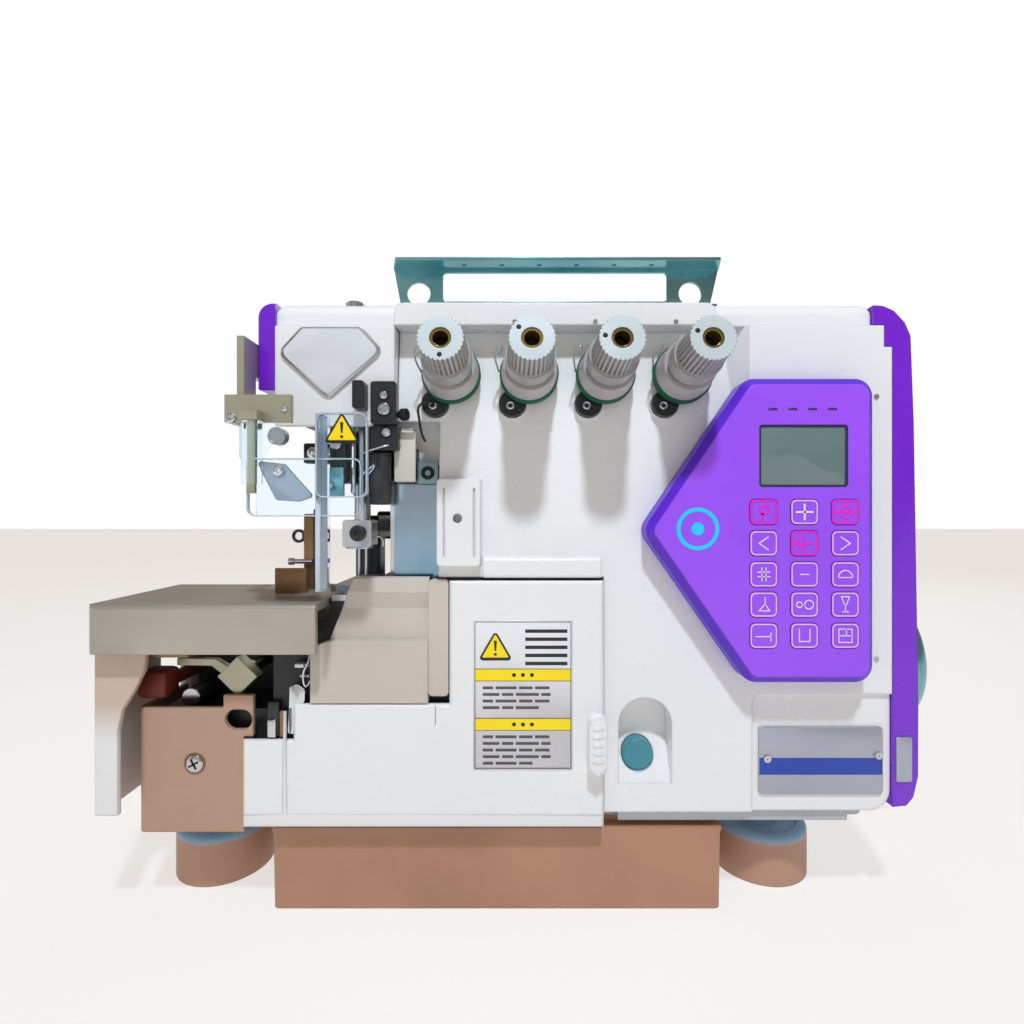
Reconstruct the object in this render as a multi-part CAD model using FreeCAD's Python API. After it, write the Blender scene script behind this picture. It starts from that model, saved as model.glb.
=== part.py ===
import FreeCAD, Part
import math
import os

os.makedirs("parts", exist_ok=True)
V = FreeCAD.Vector

# ---------------------------------------------------------------- driving dimensions (mm)
# The frame's origin is on the floor, at the centre of the four feet. +X is to the operator's right,
# +Y is to the back and +Z is up.

# supports
foot_radius = 24.5
foot_height = 25.0
foot_spacing_x = 294.0
foot_spacing_y = 110.0
foot_dish_depth = 2.0
foot_rim = 5.0
foot_bolt_radius = 3.4
foot_bolt_depth = 14.0
foot_neck_radius = 9.0

# oil pan and base frame
pan_left, pan_right = -105.0, 112.3
pan_front, pan_back = -96.0, 84.0
pan_height = 40.0
pan_wall = 2.5
pan_taper = 0.5
pan_ground_gap = 0.6
frame_bottom, frame_top = 43.0, 49.0
frame_left, frame_right = -160.0, 185.0
frame_front, frame_back = -90.0, 88.0

# castings
wall = 5.0
body_right = 188.0
body_back = 88.0
bed_left = -104.0
bed_front = -96.0
bed_top = 158.0
plate_bed_top = 149.0
low_bed_top = 140.0
side_bed_left = -160.0
side_bed_top = 126.0
side_bed_front, side_bed_back = -92.0, 60.0
cavity_floor = 96.0
cavity_back = -60.0
feed_shaft_x, feed_shaft_z = -147.0, 101.0
feed_shaft_radius = 4.5
looper_door_left, looper_door_right = -88.0, 44.0
looper_door_bottom, looper_door_step, looper_door_top = 58.0, 98.0, 148.0
column_left = -47.0
column_front = -84.0
column_top = 281.0
arm_bottom = 238.0
arm_left = -101.0
arm_right = -49.8
arm_front, arm_back = -70.0, 30.0

# front skins
skin = 3.0
front_plane = -103.0
fascia_front = -99.0
fascia_left = -24.0
fascia_bottom = 49.0
fascia_shoulder = 161.0
fascia_notch = 236.0
fascia_right = 192.2
fascia_top = 270.7
fascia_shelf = 188.4
head_split = -44.6
badge_recess = (125.5, 105.2)
badge_recess_depth = 1.6
lean_start = 185.0
lean_angle = 6.5
lean_right = 112.0
lean_blend = 12.0
cover_left, cover_right = -115.8, 54.2
cover_bottom, cover_top = 43.6, 159.6
cover_step_x = -18.5
cover_step_z = 101.4
cover_toe_x = -92.0
cover_toe_z = 84.5
cover_gap = 0.5
cover_rod_radius = 1.75
cover_rod_y = -98.0
cover_rod_z = 46.0
cover_slide = 6.0
cover_rod_left, cover_rod_right = -88.0, 42.0
cover_ear_xs = (-82.0, 30.0)
cover_ear_width = 8.0
running_gap = 0.05

# tops and ends
top_left, top_right = -102.0, 183.0
top_front, top_back = -97.0, 90.0
top_height = 293.0
top_lip = 2.0
top_radius = 7.0
strip_left, strip_right = -45.5, 108.5
end_left = -110.6
end_right = 204.7
end_bottom, end_top = 50.4, 290.6
end_wall = 3.0
end_gap = 0.3
left_cover_bottom = 250.0
head_cover_bottom = 233.0
box_cover_left, box_cover_right = -167.0, -116.3
box_cover_top = 99.0
box_cover_sheet = 2.5
box_slot_xs, box_slot_z, box_slot_radius = (-120.5, -117.2), 93.4, 4.8

# tensions
tension_xs = (-18.2, 19.2, 56.0, 93.0)
tension_z = 257.5
post_radius = 4.0
base_thickness = 4.0
ring_radius, ring_thickness = 14.15, 4.0
disc_radius, disc_thickness = 13.5, 11.0
spring_gap = 3.0
collar_radius, collar_length = 11.25, 9.0
knob_radius, knob_length = 10.35, 17.0
knob_taper = 0.75
knob_bore = 4.5
knurl_count = 30
knurl_depth = 0.7

# thread guide bracket
guide_y = -76.0
guide_sheet = 1.6
guide_bottom_left, guide_bottom_right = -45.4, 112.0
guide_top_left, guide_top_right = -50.2, 118.0
guide_top = 319.0
guide_window = (-24.7, 91.3, 301.0, 316.0)
guide_hole_radius = 6.0
guide_hole_xs = (-37.2, 103.3)
guide_hole_z = 305.0
guide_flange = 11.0

# control panel
panel_corners = ((70.9, 183.4), (118.0, 253.2), (176.6, 253.2), (176.6, 113.8), (119.0, 113.8))
panel_face = -112.0
panel_corner_radius = 8.0
panel_bevel = 3.5
key_width, key_height = 12.7, 11.6
key_columns = (125.1, 143.6, 162.1)
key_rows = (192.0, 177.8, 163.7, 150.0, 135.9)
key_gap = 0.25
key_thickness = 1.6
key_travel = 0.5
key_corner = 2.3
display = (123.2, 163.5, 203.3, 231.6)
display_depth = 1.2

# stitch-length push button in its arched finger recess
recess = (61.8, 87.2, 62.6, 103.4)
recess_depth = 11.5
button_x, button_z = 72.2, 74.0
button_radius = 7.6
button_front = -94.0
button_length = 20.0
button_gap = 0.3

# drive
shaft_y, shaft_z = -17.0, 104.0
shaft_radius = 8.0
shaft_left, shaft_right = -64.0, 236.0
bearing_radius = 17.0
bearing_width = 8.0
wheel_radius = 42.0
wheel_left, wheel_right = 209.0, 243.0
rotor_radius = 23.4
stator_radius = 40.0
air_gap = 0.6

# work surface
work_z = 152.0
plate_left, plate_right = -76.0, -50.5
plate_back = -38.0
cloth_left, cloth_right = -180.4, -77.3
cloth_front, cloth_back = -115.0, -43.0
cloth_top = 150.3
cloth_sheet = 3.3
cloth_skirt_bottom = 128.0
skirt_left, skirt_front, skirt_bottom = -182.0, -108.0, 52.0
skirt_sheet = 2.5
cloth_corner = 2.5
hinge_x, hinge_y = -168.0, -50.0
hinge_radius = 4.0

# needle, presser foot, knives and loopers
needle_x, needle_y = -67.0, -80.0
needle_pitch = 3.6
needle_radius = 0.7
needle_tip = 156.6
needle_point = 3.5
bar_x, bar_y = -65.2, -80.0
bar_radius = 4.0
bar_top = 283.0
presser_pivot_y, presser_pivot_z = -20.0, 184.0
presser_pivot_radius = 4.0
looper_stud_radius = 4.0
clamp_left, clamp_right = -73.5, -59.0
clamp_bottom, clamp_top = 174.5, 188.0
foot_left, foot_right = -78.0, -54.5
foot_front, foot_back = -90.5, -48.0
sole_clearance, sole_thickness = 0.8, 2.8
knife_thickness = 2.2

# eye guard
guard_sheet = 2.0
guard_pin_x, guard_pin_y = -100.0, -127.0
guard_pin_radius = 2.0
guard_arm_bottom, guard_arm_top = 231.0, 243.0
guard_strap = 3.2

# differential feed lever
lever_x, lever_z = -121.0, 113.0
lever_stud_radius = 3.0

# slots that let the looper cover's bracket slide
cover_arm_xs = (-70.0, 12.0)
cover_arm_width = 8.0
looper_studs = ((-84.0, 76.0), (-46.0, 80.0))


# ---------------------------------------------------------------- shape makers

def box(x0, x1, y0, y1, z0, z1):
    return Part.makeBox(x1 - x0, y1 - y0, z1 - z0, V(x0, y0, z0))


def rod(radius, start, end):
    along = V(*end) - V(*start)
    return Part.makeCylinder(radius, along.Length, V(*start), along)


def ring(outer, inner, start, end):
    return rod(outer, start, end).cut(rod(inner, start, end))


def prism(points, direction):
    face = Part.Face(Part.makePolygon([V(*p) for p in points] + [V(*points[0])]))
    return face.extrude(V(*direction))


def front_prism(outline, y0, y1):
    """An outline of (x, z) points carried from y0 to y1."""
    return prism([(x, y0, z) for x, z in outline], (0, y1 - y0, 0))


def side_prism(outline, x0, x1):
    """An outline of (y, z) points carried from x0 to x1."""
    return prism([(x0, y, z) for y, z in outline], (x1 - x0, 0, 0))


def flat_prism(outline, z0, z1):
    """An outline of (x, y) points carried from z0 to z1."""
    return prism([(x, y, z0) for x, y in outline], (0, 0, z1 - z0))


def edges(shape, axis=None, **limits):
    """Straight edges along an axis (or all edges) whose middle lies inside the given limits."""
    found = []
    for edge in shape.Edges:
        b = edge.BoundBox
        size = {"x": b.XLength, "y": b.YLength, "z": b.ZLength}
        if axis and (size[axis] < 0.01 or max(v for k, v in size.items() if k != axis) > 0.01):
            continue
        middle = {"x": b.Center.x, "y": b.Center.y, "z": b.Center.z}
        if all(low <= middle[k] <= high for k, (low, high) in limits.items()):
            found.append(edge)
    return found


def rounded(shape, radius, axis=None, **limits):
    return shape.makeFillet(radius, edges(shape, axis, **limits))


def rounded_front(x0, x1, z0, z1, y0, y1, radius):
    """A block whose four edges along Y are round."""
    return rounded(box(x0, x1, y0, y1, z0, z1), radius, "y")


def fused(first, *others):
    return first.fuse(list(others)).removeSplitter()


def around(value, reach=0.1):
    return (value - reach, value + reach)


def save(name, *solids):
    shape = solids[0] if len(solids) == 1 else Part.makeCompound(list(solids))
    if not shape.isValid():
        raise ValueError(name + " is not a valid solid")
    shape.exportStep("parts/" + name + ".step")


def lean_y(z):
    """Front of the leaning face that carries the tensions, at height z."""
    return fascia_front + max(0.0, z - lean_start) * math.tan(math.radians(lean_angle))


# ---------------------------------------------------------------- supports

def machine_feet():
    feet = []
    for x in (-foot_spacing_x / 2, foot_spacing_x / 2):
        for y in (-foot_spacing_y / 2, foot_spacing_y / 2):
            foot = rod(foot_radius, (x, y, 0), (x, y, foot_height))
            foot = rounded(foot, 3.0, z=around(foot_height))
            dish = foot_radius - foot_rim
            foot = foot.cut(rod(dish, (x, y, foot_height - foot_dish_depth), (x, y, foot_height)))
            foot = fused(foot, rod(foot_neck_radius, (x, y, foot_dish_depth), (x, y, frame_bottom)))
            feet.append(foot.cut(rod(foot_bolt_radius, (x, y, 0), (x, y, foot_bolt_depth))))
    save("machine_feet", *feet)


def oil_pan():
    low, high = pan_ground_gap, pan_height
    t = pan_taper

    def level(inset, z):
        x0, x1 = pan_left + inset, pan_right - inset
        y0, y1 = pan_front + inset, pan_back - inset
        return Part.makePolygon([V(x, y, z) for x, y in ((x0, y0), (x1, y0), (x1, y1), (x0, y1), (x0, y0))])

    def block(inset, z0, z1):
        return Part.makeLoft([level(t + inset, z0), level(inset, z1)], True, True)

    pan = block(0.0, low, high)
    pan = rounded(pan, 3.0, z=around((low + high) / 2, 1.0))
    pan = pan.cut(block(pan_wall, low + pan_wall, high + pan_wall))
    rim = box(pan_left, pan_right, frame_front, pan_back, high, frame_bottom)
    rim = rim.cut(box(pan_left + 8, pan_right - 8, frame_front + 8, pan_back - 8, high, frame_bottom))
    ledge = box(pan_left, pan_right, pan_front + 1, frame_front + 8, high - pan_wall, high)
    save("oil_pan", fused(pan, rim, ledge))


def base_frame():
    plate = box(frame_left, frame_right, frame_front, frame_back, frame_bottom, frame_top)
    plate = rounded(plate, 6.0, "z", x=around(frame_right))
    ear = box(hinge_x - 8, frame_left, hinge_y - 9, hinge_y + 9, frame_bottom, frame_top)
    lip = box(cover_right + cover_slide + 2, frame_right - 12, frame_front - 5, frame_front,
              frame_bottom, frame_top)
    post_top = cloth_top - 1.5
    post = rod(hinge_radius, (hinge_x, hinge_y, frame_top - 1), (hinge_x, hinge_y, post_top))
    shoulder = rod(hinge_radius + 3, (hinge_x, hinge_y, frame_top - 1),
                   (hinge_x, hinge_y, cloth_skirt_bottom - 2.0))
    plate = fused(plate, ear, lip, post, shoulder)
    for x in cover_arm_xs:
        slot = box(x - cover_gap, x + cover_arm_width + cover_slide + cover_gap,
                   frame_front, frame_front + 6.5, frame_bottom + 1.2, frame_top)
        plate = plate.cut(slot)
    save("base_frame", plate)


# ---------------------------------------------------------------- castings

def bed_casting():
    main = box(column_left, body_right, bed_front, body_back, frame_top, bed_top)
    middle = box(cloth_right + 0.8, column_left, bed_front, body_back, frame_top, plate_bed_top)
    low = box(bed_left, cloth_right + 0.8, bed_front, body_back, frame_top, low_bed_top)
    outer = fused(main, middle, low)
    right_room = box(column_left + wall, body_right - wall, bed_front + wall, body_back - wall,
                     frame_top + wall, bed_top - wall)
    left_room = box(bed_left + wall, column_left + wall, bed_front + wall, body_back - wall,
                    frame_top + wall, low_bed_top - wall)
    bed = outer.cut(right_room).cut(left_room)
    # the front skin of the right half stands further back, behind the fascia
    bed = bed.cut(box(cover_right, body_right, bed_front, column_front, frame_top, bed_top))
    back_wall = box(cover_right, body_right - 1, column_front, column_front + wall, frame_top, bed_top)
    side_wall = box(cover_right - wall, cover_right, bed_front + 1, column_front + wall, frame_top, bed_top)
    bed = fused(bed, back_wall, side_wall)
    # the looper chamber is open to the front and, under the needle plate, to the top
    bed = bed.cut(box(looper_door_left, looper_door_right, bed_front, bed_front + wall,
                      looper_door_bottom, looper_door_step))
    bed = bed.cut(box(-14.0, looper_door_right, bed_front, bed_front + wall, looper_door_step, looper_door_top))
    bed = bed.cut(box(plate_left, column_left - 0.6, bed_front + 8, -44.0, 120.0, plate_bed_top))
    # a rib with the two looper studs
    rib = box(-96.0, -20.0, -58.0, -54.0, frame_top + wall, low_bed_top - wall)
    studs = [rod(looper_stud_radius, (x, -86.0, z), (x, -56.0, z)) for x, z in looper_studs]
    bed = fused(bed, rib, *studs)
    # bores for the shaft bearing and the stitch-length button
    bed = bed.cut(rod(bearing_radius, (body_right - wall, shaft_y, shaft_z), (body_right, shaft_y, shaft_z)))
    bed = bed.cut(rod(button_radius + 1, (button_x, column_front, button_z),
                      (button_x, column_front + wall, button_z)))
    # the side bed holds the differential feed lever in a cavity that is open to the front
    side = box(side_bed_left, bed_left, side_bed_front, cavity_back, frame_top, cavity_floor)
    side = fused(side, box(side_bed_left, bed_left, cavity_back, side_bed_back, frame_top, side_bed_top))
    side = side.cut(box(side_bed_left + wall, bed_left, side_bed_front + wall, side_bed_back - wall,
                        frame_top + wall, cavity_floor - wall))
    side = fused(side, box(bed_left - 1, bed_left, side_bed_front, side_bed_back, frame_top, cavity_floor))
    lever_stud = rod(lever_stud_radius, (lever_x, cavity_back, lever_z), (lever_x, -88.0, lever_z))
    feed_shaft = rod(feed_shaft_radius, (feed_shaft_x, cavity_back, feed_shaft_z),
                     (feed_shaft_x, side_bed_front + 2, feed_shaft_z))
    save("bed_casting", bed, fused(side, lever_stud, feed_shaft))


def column_casting():
    column = box(column_left, body_right, column_front, body_back, bed_top, column_top)
    column = column.cut(box(column_left + wall, body_right - wall, column_front + wall, body_back - wall,
                            bed_top, column_top - wall))
    pivot = rod(presser_pivot_radius, (column_left - 24, presser_pivot_y, presser_pivot_z),
                (column_left + 1, presser_pivot_y, presser_pivot_z))
    save("column_casting", fused(column, pivot))


def arm_casting():
    arm = box(arm_left, arm_right, arm_front, arm_back, arm_bottom, column_top)
    arm = arm.cut(box(arm_left + wall, arm_right - wall, arm_front + wall, arm_back - wall,
                      arm_bottom + wall, column_top - wall))
    neck = box(arm_right, column_left, arm_front, arm_back, arm_bottom, column_top)
    for z0, z1 in ((arm_bottom + 1, arm_bottom + 11), (column_top - 13, column_top - 3)):
        bush = rod(7.0, (bar_x, bar_y, z0), (bar_x, bar_y, z1))
        bush = fused(bush, box(bar_x - 7, bar_x + 7, bar_y, arm_front + 1, z0, z1))
        arm = fused(arm, bush)
    arm = arm.cut(rod(bar_radius + running_gap, (bar_x, bar_y, arm_bottom), (bar_x, bar_y, column_top)))
    save("arm_casting", fused(arm, neck))


# ---------------------------------------------------------------- covers

def top_cover():
    def outline(inset):
        i = inset
        return [(top_left + i, top_front + i), (top_right - i, top_front + i), (top_right - i, top_back - i),
                (column_left - 2 + i, top_back - i), (column_left - 2 + i, arm_back + 2 - i),
                (top_left + i, arm_back + 2 - i)]

    cover = flat_prism(outline(0.0), column_top, top_height)
    cover = rounded(cover, top_radius, z=around(top_height))
    cover = cover.cut(flat_prism(outline(skin), column_top, top_height - skin))
    lip = box(head_split, top_right, top_front, column_front, column_top, column_top + top_lip)
    save("top_cover", fused(cover, lip))


def rear_cover():
    cover = rounded_front(column_left + 8, body_right - 4, frame_top + 10, column_top - 6,
                          body_back, body_back + skin, 8.0)
    vents = [box(90.0 + 9 * n, 94.0 + 9 * n, body_back, body_back + skin, 90.0, 130.0) for n in range(8)]
    save("rear_cover", cover.cut(Part.makeCompound(vents)))


def fascia_outline(inset):
    """The fascia's outline, drawn in by an inset."""
    i = inset
    return [(cover_right + 0.5 + i, fascia_bottom + i), (fascia_right - i, fascia_bottom + i),
            (fascia_right - i, fascia_top - i), (fascia_shelf - i, fascia_top - i),
            (fascia_shelf - i, column_top - i), (head_split + i, column_top - i),
            (head_split + i, fascia_notch + i), (fascia_left + i, fascia_notch + i),
            (fascia_left + i, fascia_shoulder + i), (cover_right + 0.5 + i, fascia_shoulder + i)]


def lean_cut(offset):
    """What the leaning face and its blend take off the front, moved back by an offset."""
    reach = lean_y(column_top + 10)
    profile = [(fascia_front - 20, lean_start), (fascia_front + offset, lean_start),
               (reach + offset, column_top + 10), (fascia_front - 20, column_top + 10)]
    wedge = side_prism(profile, head_split - 30, lean_right + lean_blend + offset)
    blend_end = lean_right + lean_blend + 1 + offset
    blend = flat_prism([(lean_right + offset, column_front + offset), (blend_end, column_front + offset),
                        (blend_end, fascia_front - 1 + offset)], lean_start, column_top + 11)
    return wedge.cut(blend)


def front_fascia():
    outer = front_prism(fascia_outline(0), fascia_front, column_front)
    outer = rounded(outer, 10.0, "y", x=around(fascia_right), z=around(fascia_bottom))
    outer = outer.cut(lean_cut(0.0))
    inner = front_prism(fascia_outline(skin), fascia_front + skin, column_front + 1)
    inner = inner.cut(lean_cut(skin))
    fascia = outer.cut(inner)
    # the thread ledge and the small eyelet block stand in front of the leaning face
    ledge = box(-2.6, 53.0, front_plane, fascia_front, fascia_shoulder, 170.4)
    ledge = rounded(ledge, 1.5, "x", y=around(front_plane))
    block = rounded_front(fascia_left, -3.6, 166.6, 207.5, front_plane - 3, fascia_front, 2.0)
    back_up = box(fascia_left, -3.6, fascia_front - 0.5, lean_y(207.5) + 1, 166.6, 207.5)
    fascia = fused(fascia, ledge, block, back_up)
    for x in (-21.0, -7.0):
        fascia = fascia.cut(box(x, x + 0.8, front_plane - 3, front_plane - 2, 171.0, 203.0))
    fascia = fascia.cut(rod(2.15, (-14.4, front_plane - 3, 189.0), (-14.4, fascia_front, 189.0)))
    for x in (14.0, 30.0):
        fascia = fascia.cut(box(x, x + 8.0, front_plane + 1.4, front_plane + 2.6, 166.0, 171.0))
    # the arched finger recess around the stitch-length button
    fascia = fascia.cut(arch(0.0, fascia_front, fascia_front + skin))
    cup = arch(2.0, fascia_front + skin - 0.5, fascia_front + recess_depth + 2.5)
    cup = cup.cut(arch(0.0, fascia_front, fascia_front + recess_depth))
    x0, x1, z0, z1 = recess
    floor = side_prism([(fascia_front + 1, z0 - 1), (fascia_front + recess_depth + 1, z0 - 1),
                        (fascia_front + recess_depth + 1, z0 + 22)], x0 - 0.5, x1 + 0.5)
    cup = fused(cup, floor.common(arch(0.5, fascia_front, column_front)))
    cup = cup.cut(rod(button_radius + button_gap, (button_x, fascia_front - 1, button_z),
                      (button_x, column_front, button_z)))
    fascia = fused(fascia, cup.common(box(x0 - 3, x1 + 3, fascia_front, column_front, z0 - 3, z1 + 3)))
    # the shallow field that takes the name plate
    left, top = badge_recess
    field = rounded_front(left, fascia_right + 10, fascia_bottom - 10, top, fascia_front,
                          fascia_front + badge_recess_depth, 5.0)
    fascia = fascia.cut(field)
    save("front_fascia", fascia)


def arch(grow, y0, y1):
    x0, x1, z0, z1 = recess
    radius = (x1 - x0) / 2
    middle = (x0 + x1) / 2
    low = box(x0 - grow, x1 + grow, y0, y1, z0 - grow, z1 - radius)
    return fused(low, rod(radius + grow, (middle, y0, z1 - radius), (middle, y1, z1 - radius)))


def upper_front_strip():
    strip = box(strip_left, strip_right, top_front - 1.6, top_front, column_top + 0.3, top_height - 1.0)
    strip = rounded(strip, 5.0, "y", z=around(top_height - 1.0))
    save("upper_front_strip", strip)


def head_front_cover():
    right = head_split - 0.4
    cover = rounded_front(top_left, right, head_cover_bottom, column_top, fascia_front, fascia_front + skin, 1.0)
    sides = [box(top_left, top_left + 1.0, fascia_front + skin, arm_front, arm_bottom, column_top),
             box(right - 1.0, right, fascia_front + skin, column_front - 0.5, arm_bottom, column_top)]
    save("head_front_cover", fused(cover, *sides))


def left_end_cover():
    cover = box(end_left, top_left, fascia_front, arm_back, left_cover_bottom, top_height - 1)
    cover = rounded(cover, 7.0, "y", x=around(end_left), z=around(top_height - 1))
    cover = rounded(cover, 2.0, x=around(end_left))
    save("left_end_cover", cover)


def right_end_cover():
    def outline(inset):
        r, b, t = end_right - inset, end_bottom + inset, end_top - inset
        return [(top_right + end_gap, b), (r - 5.7, b + 1.6), (r - 2.4, b + 5.6), (r - 0.1, b + 15.6),
                (r, b + 51.6), (r - 2.2, 236.0), (r - 3.7, t - 14.6), (r - 6.5, t - 8.2), (r - 11.7, t - 2.6),
                (r - 16.7, t - 0.4), (top_right + end_gap, t)]

    back = body_back + 2
    cover = front_prism(outline(0.0), fascia_front, back)
    cover = cover.cut(front_prism(outline(end_wall), fascia_front + end_wall, back - end_wall))
    # it laps over the body's side, the fascia's edge and the fascia's shelf
    below = 0.0, column_top + end_gap
    cover = cover.cut(box(top_right, fascia_shelf + end_gap, fascia_front, back, *below))
    cover = cover.cut(box(top_right, fascia_right + end_gap, fascia_front, column_front + end_gap,
                          0.0, fascia_top + end_gap))
    cover = cover.cut(rod(shaft_radius + 4, (end_right - end_wall - 2, shaft_y, shaft_z),
                          (end_right + 1, shaft_y, shaft_z)))
    save("right_end_cover", cover)


def bed_front_cover():
    # the cover's face steps back above its lower, upright part
    lower = side_prism([(bed_front, 101.9), (-102.5, 101.9), (-102.5, 131.3), (-99.0, 131.3), (-97.6, 146.0),
                        (-100.0, 154.0), (-98.5, 160.0), (-96.0, 161.0), (bed_front, 161.0)], -84.0, -28.6)
    notch = front_prism([(-84.1, 128.0), (-76.0, 131.0), (-64.0, 162.0), (-84.1, 162.0)], -104.0, bed_front + 1)
    lower = lower.cut(notch)
    strip = rounded_front(-28.6, cover_step_x - 0.5, 105.0, 160.0, -101.5, bed_front, 2.0)
    save("bed_front_cover", fused(lower, strip))


def side_box_cover():
    x0, x1, z0, z1 = box_cover_left, box_cover_right, frame_bottom - 3, box_cover_top
    sheet, y0 = box_cover_sheet, fascia_front - 1
    front = box(x0, x1, y0, y0 + sheet, z0, z1)
    lug = box(-126.0, -112.0, y0, y0 + sheet, 85.5, 105.0)
    front = fused(front, lug)
    left = box(x0, x0 + sheet, y0 + sheet, -62.0, z0, z1)
    right = box(x1 - sheet, x1, y0 + sheet, side_bed_front - 0.5, z0, 84.0)
    cover = fused(front, left, right)
    cover = rounded(cover, 4.0, "z", x=around(x0), y=around(y0))
    r, z = box_slot_radius, box_slot_z
    ends = [rod(r, (x, y0 - 1, z), (x, y0 + 4, z)) for x in box_slot_xs]
    save("side_box_cover", cover.cut(fused(*ends, box(*box_slot_xs, y0 - 1, y0 + 4, z - r, z + r))))


def column_side_plate():
    save("column_side_plate", box(-46.8, fascia_left - 0.6, -90.0, -88.4, bed_top + 0.6, 205.7))


# ---------------------------------------------------------------- looper cover

def looper_cover():
    outline = [(cover_left, cover_bottom), (cover_right, cover_bottom), (cover_right, cover_top),
               (cover_step_x, cover_top), (cover_step_x, cover_step_z), (cover_toe_x, cover_step_z),
               (cover_toe_x, cover_toe_z), (cover_left, cover_toe_z)]
    cover = front_prism(outline, front_plane, front_plane + skin)
    front = [e for e in cover.Edges if e.BoundBox.YLength < 0.01 and abs(e.BoundBox.YMin - front_plane) < 0.01]
    cover = cover.makeChamfer(1.2, front)
    grip = rounded_front(cover_right - 7.2, cover_right - 0.2, 72.0, 97.0, front_plane - 6, front_plane + 1, 2.4)
    ears = []
    for x in cover_ear_xs:
        ears.append(box(x, x + cover_ear_width, front_plane + skin - 1, cover_rod_y + 2.5, cover_bottom, cover_rod_z + 2.4))
    cover = fused(cover, grip, *ears)
    bore = cover_rod_radius + running_gap
    cover = cover.cut(rod(bore, (cover_rod_left - 2, cover_rod_y, cover_rod_z),
                          (cover_rod_right + 2, cover_rod_y, cover_rod_z)))
    save("looper_cover", cover)


def cover_hinge_bracket():
    bracket = rod(cover_rod_radius, (cover_rod_left, cover_rod_y, cover_rod_z),
                  (cover_rod_right, cover_rod_y, cover_rod_z))
    for x in cover_arm_xs:
        bracket = fused(bracket, box(x, x + cover_arm_width, cover_rod_y, frame_front + 5.5,
                                   frame_bottom + 2.2, frame_top - 0.6))
    save("cover_hinge_bracket", bracket)


# ---------------------------------------------------------------- thread tensions

def tension_axis(x, s):
    """The point at distance s in front of the leaning face, on one tension's axis."""
    tilt = math.radians(lean_angle)
    return (x, lean_y(tension_z) - s * math.cos(tilt), tension_z + s * math.sin(tilt))


def tension_rod(radius, x, s0, s1):
    return rod(radius, tension_axis(x, s0), tension_axis(x, s1))


def tension_cone(r0, r1, x, s0, s1):
    start, end = V(*tension_axis(x, s0)), V(*tension_axis(x, s1))
    return Part.makeCone(r0, r1, (end - start).Length, start, end - start)


def tension_parts():
    ring_start = base_thickness
    disc_start = ring_start + ring_thickness
    gap_start = disc_start + disc_thickness
    knob_start = gap_start + spring_gap
    knob_end = knob_start + collar_length + knob_length
    bases, rings, discs = [], [], []
    for number, x in enumerate(tension_xs, 1):
        lug = fused(tension_rod(12.0, x, 0, ring_start), lug_shape(x, ring_start))
        post = tension_rod(post_radius, x, 0, knob_end - 8)
        sleeve = tension_rod(9.0, x, gap_start + 0.2, knob_start - 0.3)
        bases.append(fused(lug, post, sleeve))
        bore = post_radius + 0.2
        washer = tension_rod(ring_radius, x, ring_start, disc_start)
        rings.append(washer.cut(tension_rod(bore, x, ring_start, disc_start)))
        disc = tension_cone(disc_radius, disc_radius - 1.2, x, disc_start, gap_start)
        discs.append(disc.cut(tension_rod(bore, x, disc_start, gap_start)))
        collar = tension_rod(collar_radius, x, knob_start, knob_start + collar_length)
        grip = tension_cone(knob_radius, knob_radius - knob_taper, x, knob_start + collar_length, knob_end)
        grip = grip.cut(Part.makeCompound(knurls(x, knob_start + collar_length + 1.0, knob_end)))
        knob = fused(collar, grip).cut(tension_rod(knob_bore, x, knob_start, knob_end))
        save("tension_knob_" + str(number), knob)
    save("tension_bases", *bases)
    save("tension_rings", *rings)
    save("tension_discs", *discs)


def lug_shape(x, thickness):
    """The thread lug that points down and to the left of a tension's axis."""
    start, end = V(*tension_axis(x - 8.0, 0)), V(*tension_axis(x - 8.0, thickness))
    down = V(0, -math.sin(math.radians(lean_angle)), -math.cos(math.radians(lean_angle))) * 13.5
    return Part.makeCylinder(6.5, (end - start).Length, start + down, end - start)


def knurls(x, s0, s1):
    """Straight V grooves round a knob, between s0 and s1."""
    start = V(*tension_axis(x, s0))
    along = V(*tension_axis(x, s1 + 0.1)) - start
    sideways, upright = V(1, 0, 0), V(1, 0, 0).cross(along).normalize()
    root, rim = knob_radius - knob_taper - knurl_depth, knob_radius + 0.4
    spread = math.pi * knob_radius / knurl_count * 0.8
    cuts = []
    for n in range(knurl_count):
        turn = 2 * math.pi * n / knurl_count
        out = sideways * math.cos(turn) + upright * math.sin(turn)
        across = upright * math.cos(turn) - sideways * math.sin(turn)
        corners = [start + out * root, start + out * rim + across * spread, start + out * rim - across * spread]
        cuts.append(Part.Face(Part.makePolygon(corners + corners[:1])).extrude(along))
    return cuts


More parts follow.
